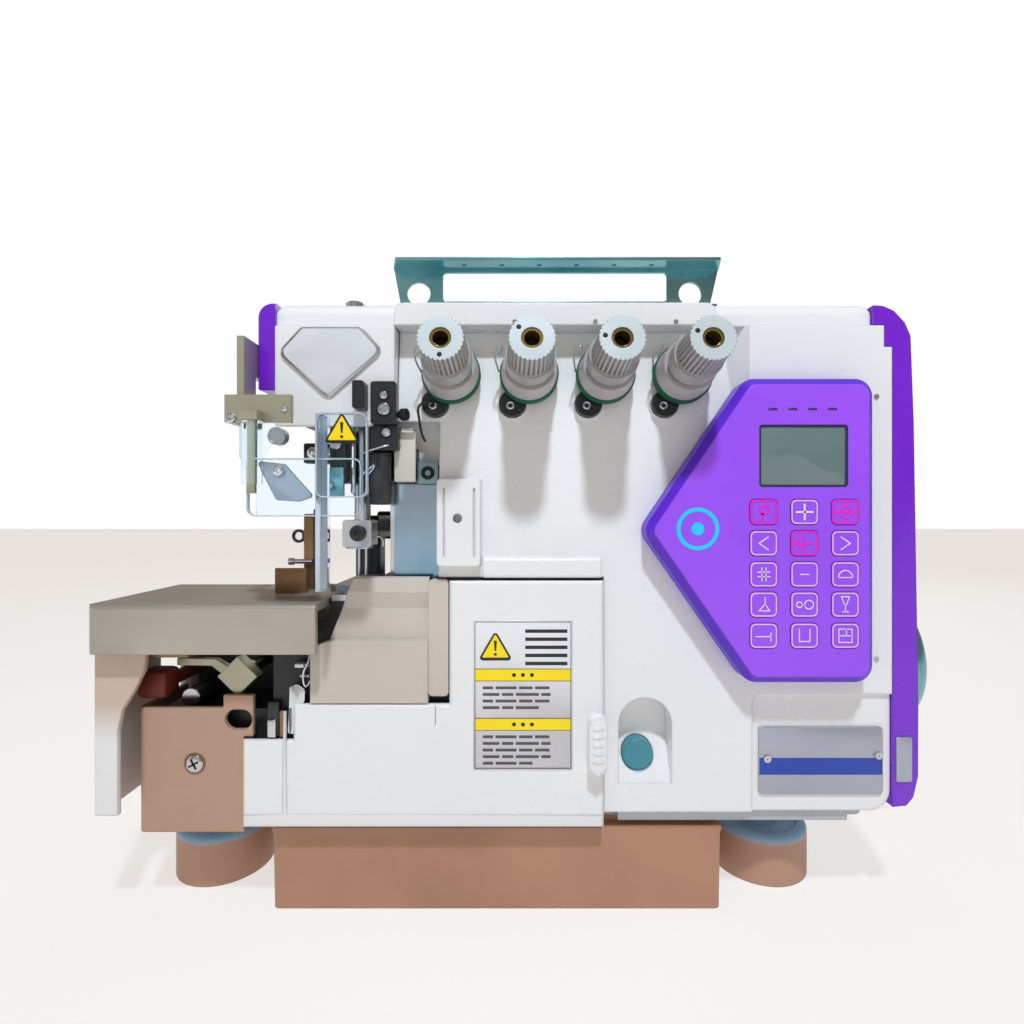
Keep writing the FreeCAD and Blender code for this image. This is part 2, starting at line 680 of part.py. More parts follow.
def thread_guide_bracket():
    outline = [(guide_bottom_left, top_height), (guide_bottom_right, top_height),
               (guide_top_right, guide_top), (guide_top_left, guide_top)]
    sheet = front_prism(outline, guide_y, guide_y + guide_sheet)
    top = flat_prism([(guide_top_left, guide_y), (guide_top_right, guide_y), (guide_top_right - 3, guide_y - guide_flange),
                      (guide_top_left + 3, guide_y - guide_flange)], guide_top - guide_sheet, guide_top)
    foot = box(guide_bottom_left, guide_bottom_right, guide_y - guide_flange - 3, guide_y,
               top_height, top_height + guide_sheet)
    x0, x1, z0, z1 = guide_window
    window = rounded_front(x0, x1, z0, z1, guide_y - 1, guide_y + guide_sheet + 1, 2.0)
    bracket = fused(sheet, top, foot).cut(window)
    for x in guide_hole_xs:
        bracket = bracket.cut(rod(guide_hole_radius, (x, guide_y - 1, guide_hole_z),
                                  (x, guide_y + 3, guide_hole_z)))
    for n in range(8):
        x = guide_top_left + 18 + n * 19.0
        y = guide_y - guide_flange / 2
        bracket = bracket.cut(rod(1.2, (x, y, guide_top - 2), (x, y, guide_top)))
    save("thread_guide_bracket", bracket)


# ---------------------------------------------------------------- control panel

def control_panel():
    back = fascia_front
    housing = front_prism(panel_corners, panel_face, back)
    housing = rounded(housing, panel_corner_radius, "y")
    front = [e for e in housing.Edges if e.BoundBox.YLength < 0.01 and abs(e.BoundBox.YMin - panel_face) < 0.01]
    housing = housing.makeChamfer(panel_bevel, front)
    hollow = front_prism([(80.0, 183.6), (122.0, 246.5), (172.0, 246.5), (172.0, 118.5), (122.5, 118.5)],
                         panel_face + 4, back)
    # the leaning fascia falls away behind the upper half of the housing
    housing = housing.cut(hollow)
    x0, x1, z0, z1 = display
    housing = housing.cut(rounded_front(x0, x1, z0, z1, panel_face, panel_face + display_depth, 1.5))
    number = 0
    for z in key_rows:
        for x in key_columns:
            number += 1
            w, h = key_width / 2, key_height / 2
            pocket = rounded_front(x - w, x + w, z - h, z + h, panel_face, panel_face + key_thickness + key_travel + 0.3,
                                   key_corner)
            housing = housing.cut(pocket)
            g = key_gap
            key = rounded_front(x - w + g, x + w - g, z - h + g, z + h - g, panel_face - 0.2,
                                panel_face + key_thickness - 0.2, key_corner - g)
            save("key_%02d" % number, key)
    save("control_panel_housing", housing)


def stitch_length_button():
    button = rod(button_radius, (button_x, button_front, button_z),
                 (button_x, button_front + button_length, button_z))
    save("stitch_length_button", rounded(button, 1.0, y=around(button_front)))


# ---------------------------------------------------------------- drive

def drive():
    shaft = rod(shaft_radius, (shaft_left, shaft_y, shaft_z), (shaft_right, shaft_y, shaft_z))
    motor_left, motor_right = body_right + air_gap, end_right - end_wall - 2.0
    rotor = rod(rotor_radius, (motor_left, shaft_y, shaft_z), (motor_right, shaft_y, shaft_z))
    eccentric = rod(13.0, (-20.0, shaft_y, shaft_z + 3), (-10.0, shaft_y, shaft_z + 3))
    save("main_shaft", fused(shaft, rotor, eccentric))
    stator = ring(stator_radius, rotor_radius + air_gap, (body_right, shaft_y, shaft_z),
                  (motor_right, shaft_y, shaft_z))
    save("motor_stator", stator)
    bore = shaft_radius + running_gap
    right = ring(bearing_radius, bore, (body_right - bearing_width, shaft_y, shaft_z),
                 (body_right, shaft_y, shaft_z))
    x0, x1 = shaft_left + 4, shaft_left + 14
    pillow = fused(rod(bearing_radius, (x0, shaft_y, shaft_z), (x1, shaft_y, shaft_z)),
                   box(x0, x1, shaft_y - bearing_radius, shaft_y + bearing_radius, frame_top + wall, shaft_z))
    pillow = pillow.cut(rod(bore, (shaft_left, shaft_y, shaft_z), (shaft_left + 20, shaft_y, shaft_z)))
    save("shaft_bearings", right, pillow)


def handwheel():
    outer = rod(wheel_radius, (wheel_left, shaft_y, shaft_z), (wheel_right, shaft_y, shaft_z))
    outer = rounded(outer, 9.0, x=around(wheel_right))
    outer = rounded(outer, 2.0, x=around(wheel_left))
    grips = []
    for n in range(12):
        groove = rod(2.2, (wheel_left + 6, shaft_y, shaft_z + wheel_radius + 0.9),
                     (wheel_right - 12, shaft_y, shaft_z + wheel_radius + 0.9))
        groove.rotate(V(0, shaft_y, shaft_z), V(1, 0, 0), 30.0 * n)
        grips.append(groove)
    wheel = outer.cut(Part.makeCompound(grips))
    wheel = wheel.cut(rod(shaft_radius, (wheel_left, shaft_y, shaft_z), (shaft_right, shaft_y, shaft_z)))
    save("handwheel", wheel)


# ---------------------------------------------------------------- work surface

def needle_plate():
    plate = box(plate_left, plate_right, bed_front + 0.2, plate_back, plate_bed_top, work_z)
    slots = [box(needle_x - 4 + 5.2 * n, needle_x - 1.6 + 5.2 * n, needle_y + 4, needle_y + 34, plate_bed_top, work_z)
             for n in range(3)]
    plate = plate.cut(Part.makeCompound(slots))
    plate = plate.cut(box(needle_x - 3, needle_x + needle_pitch + 3, needle_y - 3, needle_y + 3, plate_bed_top, work_z))
    knife = box(plate_right - 2.5, plate_right, needle_y - 3, needle_y + 14, 138.0, work_z)
    save("needle_plate", plate.cut(knife), knife)


def feed_dog():
    base = box(needle_x - 8, needle_x + 14, needle_y + 8, needle_y + 30, 138.0, 146.0)
    for n in range(3):
        x = needle_x - 3.6 + 5.2 * n
        teeth = [(needle_y + 8, 145.0)]
        for t in range(11):
            teeth += [(needle_y + 8 + 2 * t, work_z - 0.4), (needle_y + 10 + 2 * t, work_z + 0.4)]
        teeth += [(needle_y + 30, 145.0)]
        base = fused(base, side_prism(teeth, x, x + 1.6))
    save("feed_dog", base)


def cloth_plate():
    right, left = cloth_right, cloth_left
    outline = [(right, cloth_back), (right, cloth_front), (left + cloth_corner, cloth_front),
               (left, cloth_front + cloth_corner), (left, cloth_back)]
    plate = flat_prism(outline, cloth_skirt_bottom, cloth_top)
    plate = rounded(plate, 2.0, y=around(cloth_front), z=around(cloth_top))
    s = cloth_sheet
    corner = cloth_corner + s / 2
    under = [(right + 1, cloth_back + 1), (right + 1, cloth_front + s), (left + corner, cloth_front + s),
             (left + s, cloth_front + corner), (left + s, cloth_back + 1)]
    plate = plate.cut(flat_prism(under, cloth_skirt_bottom, cloth_top - s))
    hub = rod(hinge_radius + 4, (hinge_x, hinge_y, cloth_skirt_bottom), (hinge_x, hinge_y, cloth_top - 1))
    plate = fused(plate, hub)
    bore = rod(hinge_radius + running_gap, (hinge_x, hinge_y, cloth_skirt_bottom),
               (hinge_x, hinge_y, cloth_top - 1.2))
    save("cloth_plate", plate.cut(bore))


def side_skirt():
    # a bent sheet: a shaped front and a plain left wall
    x0, z0, z1 = skirt_left, skirt_bottom, cloth_skirt_bottom
    outline = [(x0, z1), (-157.5, z1), (-158.5, 119.0), (-163.0, 109.5), (-168.5, 101.0), (-170.8, 91.0),
               (-170.8, z0), (x0, z0)]
    front = front_prism(outline, skirt_front, skirt_front + skirt_sheet)
    side = box(x0, x0 + skirt_sheet, skirt_front + skirt_sheet, hinge_y - 12, z0, z1)
    skirt = rounded(fused(front, side), 1.5, "z", x=around(x0), y=around(skirt_front))
    save("side_skirt", skirt)


# ---------------------------------------------------------------- needle, foot, knife and loopers

def needle_bar():
    bar = rod(bar_radius, (bar_x, bar_y, 180.0), (bar_x, bar_y, bar_top))
    clamp = rounded_front(clamp_left, clamp_right, clamp_bottom, clamp_top, bar_y - 7, bar_y + 6.5, 1.5)
    xs = [needle_x + needle_pitch * n for n in range(2)]
    shank_start, shank_end = needle_tip + needle_point, clamp_bottom + 1.5
    shanks = [rod(needle_radius, (x, needle_y, shank_start), (x, needle_y, shank_end)) for x in xs]
    up = V(0, 0, 1)
    tips = [Part.makeCone(0.15, needle_radius, needle_point, V(x, needle_y, needle_tip), up) for x in xs]
    save("needle_bar", fused(bar, clamp, *shanks, *tips))


def presser_foot():
    x0, x1, z0 = foot_left, foot_right, work_z + sole_clearance
    z1 = z0 + sole_thickness
    sole = box(x0, x1, foot_front, foot_back, z0, z1)
    toe = side_prism([(foot_front, z0), (foot_front - 2, work_z + 5.0), (foot_front, z1)], x0, x1)
    arm_bottom_z, arm_top_z = presser_pivot_z - 6, presser_pivot_z + 6
    shank = box(-72.0, -59.0, -68.0, -57.0, work_z + 3.0, arm_bottom_z)
    arm = box(-71.0, -60.0, -68.0, presser_pivot_y, arm_bottom_z, arm_top_z)
    eye = rod(8.5, (-71.0, presser_pivot_y, presser_pivot_z), (-60.0, presser_pivot_y, presser_pivot_z))
    foot = fused(sole, toe, shank, arm, eye)
    needle_hole = box(needle_x - 2.5, needle_x + needle_pitch + 2.5, needle_y - 5, needle_y + 7,
                      work_z, work_z + 5)
    bore = rod(presser_pivot_radius + running_gap, (-90, presser_pivot_y, presser_pivot_z),
               (-50, presser_pivot_y, presser_pivot_z))
    save("presser_foot", foot.cut(needle_hole).cut(bore))


def upper_knife():
    x0, x1 = plate_right + 0.3, plate_right + 0.3 + knife_thickness
    blade = box(x0, x1, -84.0, -72.0, 152.0, 196.0)
    edge = side_prism([(-84.0, 152.0), (-72.0, 152.0), (-72.0, 145.0)], x0, x1)
    holder = box(x0, x1 + 0.6, -82.0, -74.0, 176.0, 204.0)
    save("upper_knife", fused(blade, edge, holder))


def looper(name, stud, lean, y0, y1):
    x, z = stud
    hub = rod(8.0, (x, y0, z), (x, y1, z))
    arm = front_prism([(x - 4, z), (x + 4, z), (x + lean + 2.5, z + 46), (x + lean - 2.5, z + 46)], y0, y1)
    tip_x = x + lean
    side = 1 if lean > 0 else -1
    hook = front_prism([(tip_x - 2.5 * side, z + 42), (tip_x + 14 * side, z + 48), (tip_x + 14.5 * side, z + 49),
                        (tip_x - 2.5 * side, z + 48)], y0, y1)
    body = fused(hub, arm, hook)
    save(name, body.cut(rod(looper_stud_radius + running_gap, (x, y0 - 1, z), (x, y1 + 1, z))))


def differential_lever():
    y0, y1 = -90.0, -86.5
    block = front_prism([(lever_x, lever_z - 9.5), (lever_x + 9.5, lever_z), (lever_x, lever_z + 9.5),
                         (lever_x - 9.5, lever_z)], y0 - 7, y0)
    arm = front_prism([(lever_x - 3, lever_z - 7), (lever_x + 2, lever_z - 3), (lever_x - 14, lever_z + 6.5),
                       (lever_x - 33, lever_z + 7), (lever_x - 33, lever_z + 3.5),
                       (lever_x - 16, lever_z + 3.2)], y0, y1)
    hub = rod(6.0, (lever_x, y0, lever_z), (lever_x, y1, lever_z))
    lever = fused(block, arm, hub)
    bore = rod(lever_stud_radius + running_gap, (lever_x, -88.2, lever_z), (lever_x, y1 + 1, lever_z))
    save("differential_lever", lever.cut(bore))


def needle_thread_guides():
    y = -88.0
    main = rounded_front(-55.4, -42.5, 221.0, 232.6, fascia_front - 4, y, 1.5)
    upper = rounded_front(-55.0, -43.0, 232.9, 253.0, fascia_front - 6, fascia_front, 1.5)
    side = rounded_front(-63.0, -57.6, 240.0, 253.0, fascia_front - 8, fascia_front, 1.2)
    pale = box(-46.0, -35.4, -96.0, -86.0, 208.0, 222.8)
    square = rounded_front(-34.6, -25.0, 206.2, 216.0, -94.0, column_front, 0.8)
    save("needle_thread_guides", main, upper, side, pale, square)


# ---------------------------------------------------------------- eye guard

def eye_guard_bracket():
    x0, x1 = end_left - guard_strap, end_left
    z0, z1 = guard_arm_bottom, guard_arm_top
    arm_front_y, arm_back_y = guard_pin_y + 4, guard_pin_y + 7
    strap = box(x0, x1, -112.0, arm_back - 60, 256.0, 272.0)
    drop = box(x0, x1, -112.0, fascia_front - 1, z0, 258.0)
    side = box(x0, x1, arm_front_y, fascia_front - 1, z0, z1)
    arm = box(x0, -85.0, arm_front_y, arm_back_y, z0, z1)
    ear = box(guard_pin_x - 4, guard_pin_x + 4, guard_pin_y - 4, arm_back_y, z0, z0 + 4)
    pin = rod(guard_pin_radius, (guard_pin_x, guard_pin_y, 200.0), (guard_pin_x, guard_pin_y, z0 + 1))
    save("eye_guard_bracket", fused(strap, drop, side, arm, ear, pin))


def eye_guard():
    y = guard_pin_y
    tube = rod(guard_pin_radius + 2.2, (guard_pin_x, y, 204.0), (guard_pin_x, y, 230.6))
    face = y - guard_sheet / 2
    wide = rounded_front(guard_pin_x - 2, -53.0, 190.0, 215.0, face, face + guard_sheet, 3.0)
    front = rounded_front(-72.0, -50.0, 198.0, 234.0, face - guard_sheet, face, 3.0)
    strip = box(-72.5, -72.5 + guard_sheet, face, y + 12, 158.0, 234.0)
    guard = fused(tube, wide, front, strip)
    bore = guard_pin_radius + running_gap
    save("eye_guard", guard.cut(rod(bore, (guard_pin_x, y, 180.0), (guard_pin_x, y, guard_arm_bottom))))


# ---------------------------------------------------------------- build

machine_feet()
oil_pan()
base_frame()
bed_casting()
column_casting()
arm_casting()
top_cover()
rear_cover()
front_fascia()
upper_front_strip()
head_front_cover()
left_end_cover()
right_end_cover()
bed_front_cover()
side_box_cover()
column_side_plate()
looper_cover()
cover_hinge_bracket()
tension_parts()
thread_guide_bracket()
control_panel()
stitch_length_button()
drive()
handwheel()
needle_plate()
feed_dog()
cloth_plate()
side_skirt()
needle_bar()
presser_foot()
upper_knife()
looper("upper_looper", looper_studs[1], -14.0, -74.0, -66.0)
looper("lower_looper", looper_studs[0], 8.0, -86.0, -78.0)
differential_lever()
needle_thread_guides()
eye_guard_bracket()
eye_guard()
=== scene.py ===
import math

import bmesh
import bpy
from mathutils import Matrix, Vector


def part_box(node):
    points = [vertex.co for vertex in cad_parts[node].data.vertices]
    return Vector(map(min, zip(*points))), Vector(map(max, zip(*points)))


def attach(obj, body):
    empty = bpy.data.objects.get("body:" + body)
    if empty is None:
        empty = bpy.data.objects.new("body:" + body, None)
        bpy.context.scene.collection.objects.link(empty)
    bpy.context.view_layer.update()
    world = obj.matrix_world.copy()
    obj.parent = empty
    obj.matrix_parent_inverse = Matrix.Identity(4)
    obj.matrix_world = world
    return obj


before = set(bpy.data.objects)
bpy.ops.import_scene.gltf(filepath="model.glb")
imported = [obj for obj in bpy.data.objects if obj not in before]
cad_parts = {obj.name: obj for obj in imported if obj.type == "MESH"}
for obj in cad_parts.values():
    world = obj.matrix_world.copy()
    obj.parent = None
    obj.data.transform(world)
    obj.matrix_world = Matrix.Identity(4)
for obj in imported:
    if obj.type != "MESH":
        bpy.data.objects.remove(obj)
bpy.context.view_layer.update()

# ---------------------------------------------------------------------------------------------
# Camera, floor and light. The camera stands close in front of the machine at the height of its
# control panel. One small lamp above the operator throws the knobs' shadows straight down, and a
# wide soft panel and a warm, dim room fill the rest. The room looks white only where it is seen.
# ---------------------------------------------------------------------------------------------
MM = 0.001
camera_place = Vector((11.0, -366.0, 192.0)) * MM
camera_data = bpy.data.cameras.new("camera")
camera_data.lens = 19.69
camera_data.sensor_width = 36.0
camera_data.clip_start = 0.01
camera = bpy.data.objects.new("camera", camera_data)
camera.location = camera_place
camera.rotation_euler = (math.radians(90.0), 0.0, 0.0)
bpy.context.collection.objects.link(camera)
bpy.context.scene.camera = camera


def lamp(name, place, aim, size, power, colour=(1.0, 1.0, 1.0)):
    data = bpy.data.lights.new(name, "AREA")
    data.shape = "DISK"
    data.size = size
    data.energy = power
    data.color = colour
    light = bpy.data.objects.new(name, data)
    light.location = place
    light.rotation_euler = (Vector(aim) - Vector(place)).to_track_quat("-Z", "Y").to_euler()
    bpy.context.collection.objects.link(light)


machine_middle = (0.03, -0.05, 0.17)
lamp("key_lamp", (0.06, -0.72, 1.20), machine_middle, 0.09, 11.0, (0.84, 0.92, 1.0))
lamp("front_panel", (-0.25, -1.5, 0.55), machine_middle, 1.3, 1.2, (0.80, 0.92, 1.0))
lamp("left_panel", (-1.3, -0.5, 0.5), machine_middle, 1.0, 1.2, (0.93, 0.97, 1.0))
lamp("back_panel", (0.5, 1.3, 0.9), machine_middle, 1.2, 5.0)

# the room is warm and dim where it lights the machine, and white where it is seen behind it
world = bpy.data.worlds.new("room")
world.use_nodes = True
room_tree = world.node_tree
room = room_tree.nodes["Background"]
room.inputs["Color"].default_value = (0.60, 0.50, 0.435, 1.0)
room.inputs["Strength"].default_value = 0.5
backdrop = room_tree.nodes.new("ShaderNodeBackground")
backdrop.inputs["Color"].default_value = (1.0, 1.0, 1.0, 1.0)
ray = room_tree.nodes.new("ShaderNodeLightPath")
seen_white = room_tree.nodes.new("ShaderNodeMath")
seen_white.operation = "MAXIMUM"
choose = room_tree.nodes.new("ShaderNodeMixShader")
for source, target in ((ray.outputs["Is Camera Ray"], seen_white.inputs[0]),
                       (ray.outputs["Is Transmission Ray"], seen_white.inputs[1]),
                       (seen_white.outputs["Value"], choose.inputs["Fac"]),
                       (room.outputs["Background"], choose.inputs[1]),
                       (backdrop.outputs["Background"], choose.inputs[2]),
                       (choose.outputs["Shader"], room_tree.nodes["World Output"].inputs["Surface"])):
    room_tree.links.new(source, target)
bpy.context.scene.world = world
bpy.context.scene.view_settings.view_transform = "Standard"

floor_mesh = bpy.data.meshes.new("floor")
floor_mesh.from_pydata([(-6, -6, 0), (6, -6, 0), (6, 6, 0), (-6, 6, 0)], [], [(0, 1, 2, 3)])
floor = bpy.data.objects.new("floor", floor_mesh)
bpy.context.collection.objects.link(floor)
floor_paper = bpy.data.materials.new("floor_paper")
floor_paper.use_nodes = True
paper = floor_paper.node_tree.nodes["Principled BSDF"].inputs
paper["Base Color"].default_value = (0.25, 0.25, 0.25, 1.0)
paper["Roughness"].default_value = 0.85
paper["Emission Color"].default_value = (1.0, 0.97, 0.94, 1.0)
paper["Emission Strength"].default_value = 0.70
floor_mesh.materials.append(floor_paper)


# ---------------------------------------------------------------------------------------------
# Machine feet. Four moulded rubber cushions, tan on the side, each with a dished upper face painted
# grey-blue as a reflection of the light above, and a steel neck that carries the base frame.
# ---------------------------------------------------------------------------------------------
def new_finish(name):
    """A node material; returns it with its tree and its shader."""
    material = bpy.data.materials.new(name)
    material.use_nodes = True
    tree = material.node_tree
    shader = tree.nodes["Principled BSDF"]
    return material, tree, shader


def object_noise(tree, scale, detail=3.0, stretch=(1.0, 1.0, 1.0)):
    """Noise on object coordinates, with its scale in cycles per metre."""
    where = tree.nodes.new("ShaderNodeTexCoord")
    mapping = tree.nodes.new("ShaderNodeMapping")
    mapping.inputs["Scale"].default_value = stretch
    noise = tree.nodes.new("ShaderNodeTexNoise")
    noise.inputs["Scale"].default_value = scale
    noise.inputs["Detail"].default_value = detail
    tree.links.new(where.outputs["Object"], mapping.inputs["Vector"])
    tree.links.new(mapping.outputs["Vector"], noise.inputs["Vector"])
    return noise


def ramp(tree, source, stops):
    """Colours along a value: stops are (position, colour)."""
    node = tree.nodes.new("ShaderNodeValToRGB")
    elements = node.color_ramp.elements
    while len(elements) < len(stops):
        elements.new(0.5)
    for element, (position, colour) in zip(elements, stops):
        element.position = position
        element.color = (*colour, 1.0)
    tree.links.new(source, node.inputs["Fac"])
    return node


def level(tree, source, low, high):
    """A value spread between two levels."""
    node = tree.nodes.new("ShaderNodeMapRange")
    node.inputs["From Min"].default_value = 0.3
    node.inputs["From Max"].default_value = 0.7
    node.inputs["To Min"].default_value = low
    node.inputs["To Max"].default_value = high
    tree.links.new(source, node.inputs["Value"])
    return node


def coat_finish(name, colour, tint, rough, grain=900.0, grain_depth=0.00004, edge=0.0006, metal=0.0, coat=0.0,
                stretch=(1.0, 1.0, 1.0)):
    """A painted, moulded or machined surface: cloudy colour, uneven gloss, fine grain and softened edges."""
    material, tree, shader = new_finish(name)
    cloud = object_noise(tree, 14.0, 4.0)
    tone = ramp(tree, cloud.outputs["Fac"], ((0.32, tint), (0.62, colour)))
    tree.links.new(tone.outputs["Color"], shader.inputs["Base Color"])
    smear = object_noise(tree, 46.0, 5.0, stretch)
    tree.links.new(level(tree, smear.outputs["Fac"], rough - 0.06, rough + 0.08).outputs["Result"],
                   shader.inputs["Roughness"])
    fine = object_noise(tree, grain, 2.0, stretch)
    bump = tree.nodes.new("ShaderNodeBump")
    bump.inputs["Strength"].default_value = 0.35
    bump.inputs["Distance"].default_value = grain_depth
    tree.links.new(fine.outputs["Fac"], bump.inputs["Height"])
    soften = tree.nodes.new("ShaderNodeBevel")
    soften.samples = 4
    soften.inputs["Radius"].default_value = edge
    tree.links.new(soften.outputs["Normal"], bump.inputs["Normal"])
    tree.links.new(bump.outputs["Normal"], shader.inputs["Normal"])
    shader.inputs["Metallic"].default_value = metal
    shader.inputs["Coat Weight"].default_value = coat
    shader.inputs["Coat Roughness"].default_value = 0.12
    return material


def object_axis(tree, axis):
    """One axis of the object coordinates, in metres."""
    where = tree.nodes.new("ShaderNodeTexCoord")
    split = tree.nodes.new("ShaderNodeSeparateXYZ")
    tree.links.new(where.outputs["Object"], split.inputs["Vector"])
    return split.outputs[axis]


def second_tone(material, value, start, end, colour):
    """Fades a finish's colour into a second one between two levels of a value."""
    tree = material.node_tree
    shader = tree.nodes["Principled BSDF"]
    first = shader.inputs["Base Color"].links[0].from_socket
    share = tree.nodes.new("ShaderNodeMapRange")
    share.inputs["From Min"].default_value = start
    share.inputs["From Max"].default_value = end
    tree.links.new(value, share.inputs["Value"])
    mix = tree.nodes.new("ShaderNodeMix")
    mix.data_type = "RGBA"
    tree.links.new(share.outputs["Result"], mix.inputs["Factor"])
    tree.links.new(first, mix.inputs["A"])
    mix.inputs["B"].default_value = (*colour, 1.0)
    tree.links.new(mix.outputs["Result"], shader.inputs["Base Color"])


def dress(material, *nodes):
    """Gives CAD pieces their finish."""
    for node in nodes:
        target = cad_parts[node].data
        target.materials.clear()
        target.materials.append(material)


foot_rubber = coat_finish("foot_rubber", (0.50, 0.29, 0.20), (0.43, 0.24, 0.16), 0.52, 1400.0, 0.00006, 0.0012)
# the feet's upper faces turn grey-blue above this height: a painted reflection of the light above them
painted_reflection_from, painted_reflection_full = 0.0205, 0.0232
second_tone(foot_rubber, object_axis(foot_rubber.node_tree, "Z"), painted_reflection_from, painted_reflection_full, (0.30, 0.48, 0.66))
dress(foot_rubber, "machine_feet")

# ---------------------------------------------------------------------------------------------
# Oil pan and base frame. The pan is folded sheet with a warm tan enamel, a little uneven where oil
# has wiped over it; the grey cast frame shows as a narrow strip between the pan and the body.
# ---------------------------------------------------------------------------------------------
tan_enamel = coat_finish("tan_enamel", (0.45, 0.235, 0.145), (0.37, 0.185, 0.115), 0.34, 700.0, 0.00005, 0.0010,
                         stretch=(1.0, 1.0, 5.0))
dress(tan_enamel, "oil_pan")
frame_enamel = coat_finish("frame_enamel", (0.50, 0.53, 0.57), (0.42, 0.45, 0.50), 0.30, 500.0, 0.00008, 0.0012)
dress(frame_enamel, "base_frame")

# ---------------------------------------------------------------------------------------------
# Castings. The bed is cast iron with a black enamel that shows only in the cavities and at the
# back; the column and the head carry the machine's white enamel.
# ---------------------------------------------------------------------------------------------
black_enamel = coat_finish("black_enamel", (0.022, 0.024, 0.028), (0.010, 0.011, 0.013), 0.42, 420.0, 0.00012, 0.0008)
dress(black_enamel, "bed_casting", "arm_casting")
white_enamel = coat_finish("white_enamel", (0.83, 0.84, 0.85), (0.812, 0.822, 0.835), 0.30, 620.0, 0.00004, 0.0014,
                           coat=0.25)
dress(white_enamel, "column_casting", "front_fascia", "top_cover", "rear_cover", "looper_cover", "head_front_cover",
      "upper_front_strip")
skirt_enamel = coat_finish("skirt_enamel", (0.83, 0.83, 0.83), (0.78, 0.78, 0.79), 0.30, 620.0, 0.00004, 0.0014)
# the side skirt turns warm tan towards its top: painted shade where the cloth plate overhangs it
overhang_shade_from, overhang_shade_full = 0.086, 0.104
second_tone(skirt_enamel, object_axis(skirt_enamel.node_tree, "Z"), overhang_shade_from, overhang_shade_full, (0.60, 0.46, 0.36))
dress(skirt_enamel, "side_skirt")
purple_left = coat_finish("purple_left", (0.165, 0.004, 0.60), (0.125, 0.002, 0.50), 0.26, 800.0, 0.00003, 0.0012,
                          coat=0.3)
dress(purple_left, "left_end_cover")
purple_right = coat_finish("purple_right", (0.19, 0.012, 0.66), (0.16, 0.008, 0.58), 0.26, 800.0, 0.00003, 0.0012,
                           coat=0.3)
dress(purple_right, "right_end_cover")
dress(coat_finish("box_cover_enamel", (0.48, 0.30, 0.215), (0.43, 0.265, 0.185), 0.42, 900.0, 0.00004, 0.0012),
      "side_box_cover")
dress(coat_finish("beige_enamel", (0.60, 0.545, 0.485), (0.54, 0.48, 0.42), 0.36, 800.0, 0.00004, 0.0008),
      "bed_front_cover")
panel_purple = coat_finish("panel_purple", (0.33, 0.082, 0.93), (0.30, 0.070, 0.88), 0.38, 1500.0, 0.00002, 0.0010)
dress(panel_purple, "control_panel_housing", *["key_%02d" % n for n in range(1, 16)])

# ---------------------------------------------------------------------------------------------
# Bright parts. Ground and plated steel on the mechanism, blued steel on the guide bracket and the
# side plate, anodised teal on the handwheel and the button, and turned fittings on the tensions.
# ---------------------------------------------------------------------------------------------
dress(coat_finish("satin_plate", (0.47, 0.44, 0.39), (0.38, 0.355, 0.31), 0.34, 1600.0, 0.00003, 0.0008, metal=0.55,
                  stretch=(0.15, 1.0, 1.0)), "cloth_plate")
bright_steel = coat_finish("bright_steel", (0.66, 0.67, 0.69), (0.52, 0.53, 0.56), 0.22, 2400.0, 0.00002, 0.0004,
                           metal=1.0, stretch=(1.0, 0.2, 1.0))
dress(bright_steel, "needle_bar", "presser_foot", "needle_plate", "feed_dog", "upper_knife", "upper_looper",
      "lower_looper", "main_shaft", "shaft_bearings", "cover_hinge_bracket")
teal_steel = coat_finish("teal_steel", (0.10, 0.34, 0.38), (0.30, 0.52, 0.56), 0.20, 1800.0, 0.00002, 0.0004,
                         metal=0.9, stretch=(0.2, 1.0, 1.0))
dress(teal_steel, "thread_guide_bracket")
dress(coat_finish("blue_steel", (0.20, 0.36, 0.50), (0.42, 0.50, 0.56), 0.16, 1800.0, 0.00002, 0.0004, metal=1.0),
      "column_side_plate")
dress(coat_finish("khaki_zinc", (0.47, 0.46, 0.34), (0.38, 0.37, 0.26), 0.32, 1500.0, 0.00004, 0.0006, metal=0.6),
      "eye_guard_bracket", "differential_lever")
black_oxide = coat_finish("black_oxide", (0.020, 0.026, 0.028), (0.010, 0.013, 0.015), 0.34, 1200.0, 0.00006, 0.0008)
dress(black_oxide, "needle_thread_guides")
dress(coat_finish("motor_core", (0.16, 0.16, 0.17), (0.10, 0.10, 0.11), 0.5), "motor_stator")
dress(coat_finish("teal_wheel", (0.11, 0.31, 0.36), (0.24, 0.46, 0.50), 0.20, 1800.0, 0.00002, 0.0010, metal=0.85),
      "handwheel")
dress(coat_finish("tension_black", (0.012, 0.018, 0.017), (0.006, 0.009, 0.009), 0.24, 1200.0, 0.00003, 0.0006),
      "tension_bases")
dress(coat_finish("green_felt", (0.006, 0.125, 0.062), (0.003, 0.075, 0.038), 0.85, 2600.0, 0.00020, 0.0006),
      "tension_rings")
dress(coat_finish("tension_white", (0.47, 0.44, 0.45), (0.40, 0.375, 0.385), 0.36, 1500.0, 0.00003, 0.0006),
      "tension_discs")
knob_finish = coat_finish("knob_finish", (0.44, 0.44, 0.435), (0.36, 0.355, 0.35), 0.40, 1500.0, 0.00003, 0.0004,
                          metal=0.25)
dress(knob_finish, *["tension_knob_%d" % n for n in range(1, 5)])
dress(coat_finish("button_teal", (0.055, 0.27, 0.34), (0.04, 0.22, 0.28), 0.34, 1500.0, 0.00003, 0.0008),
      "stitch_length_button")

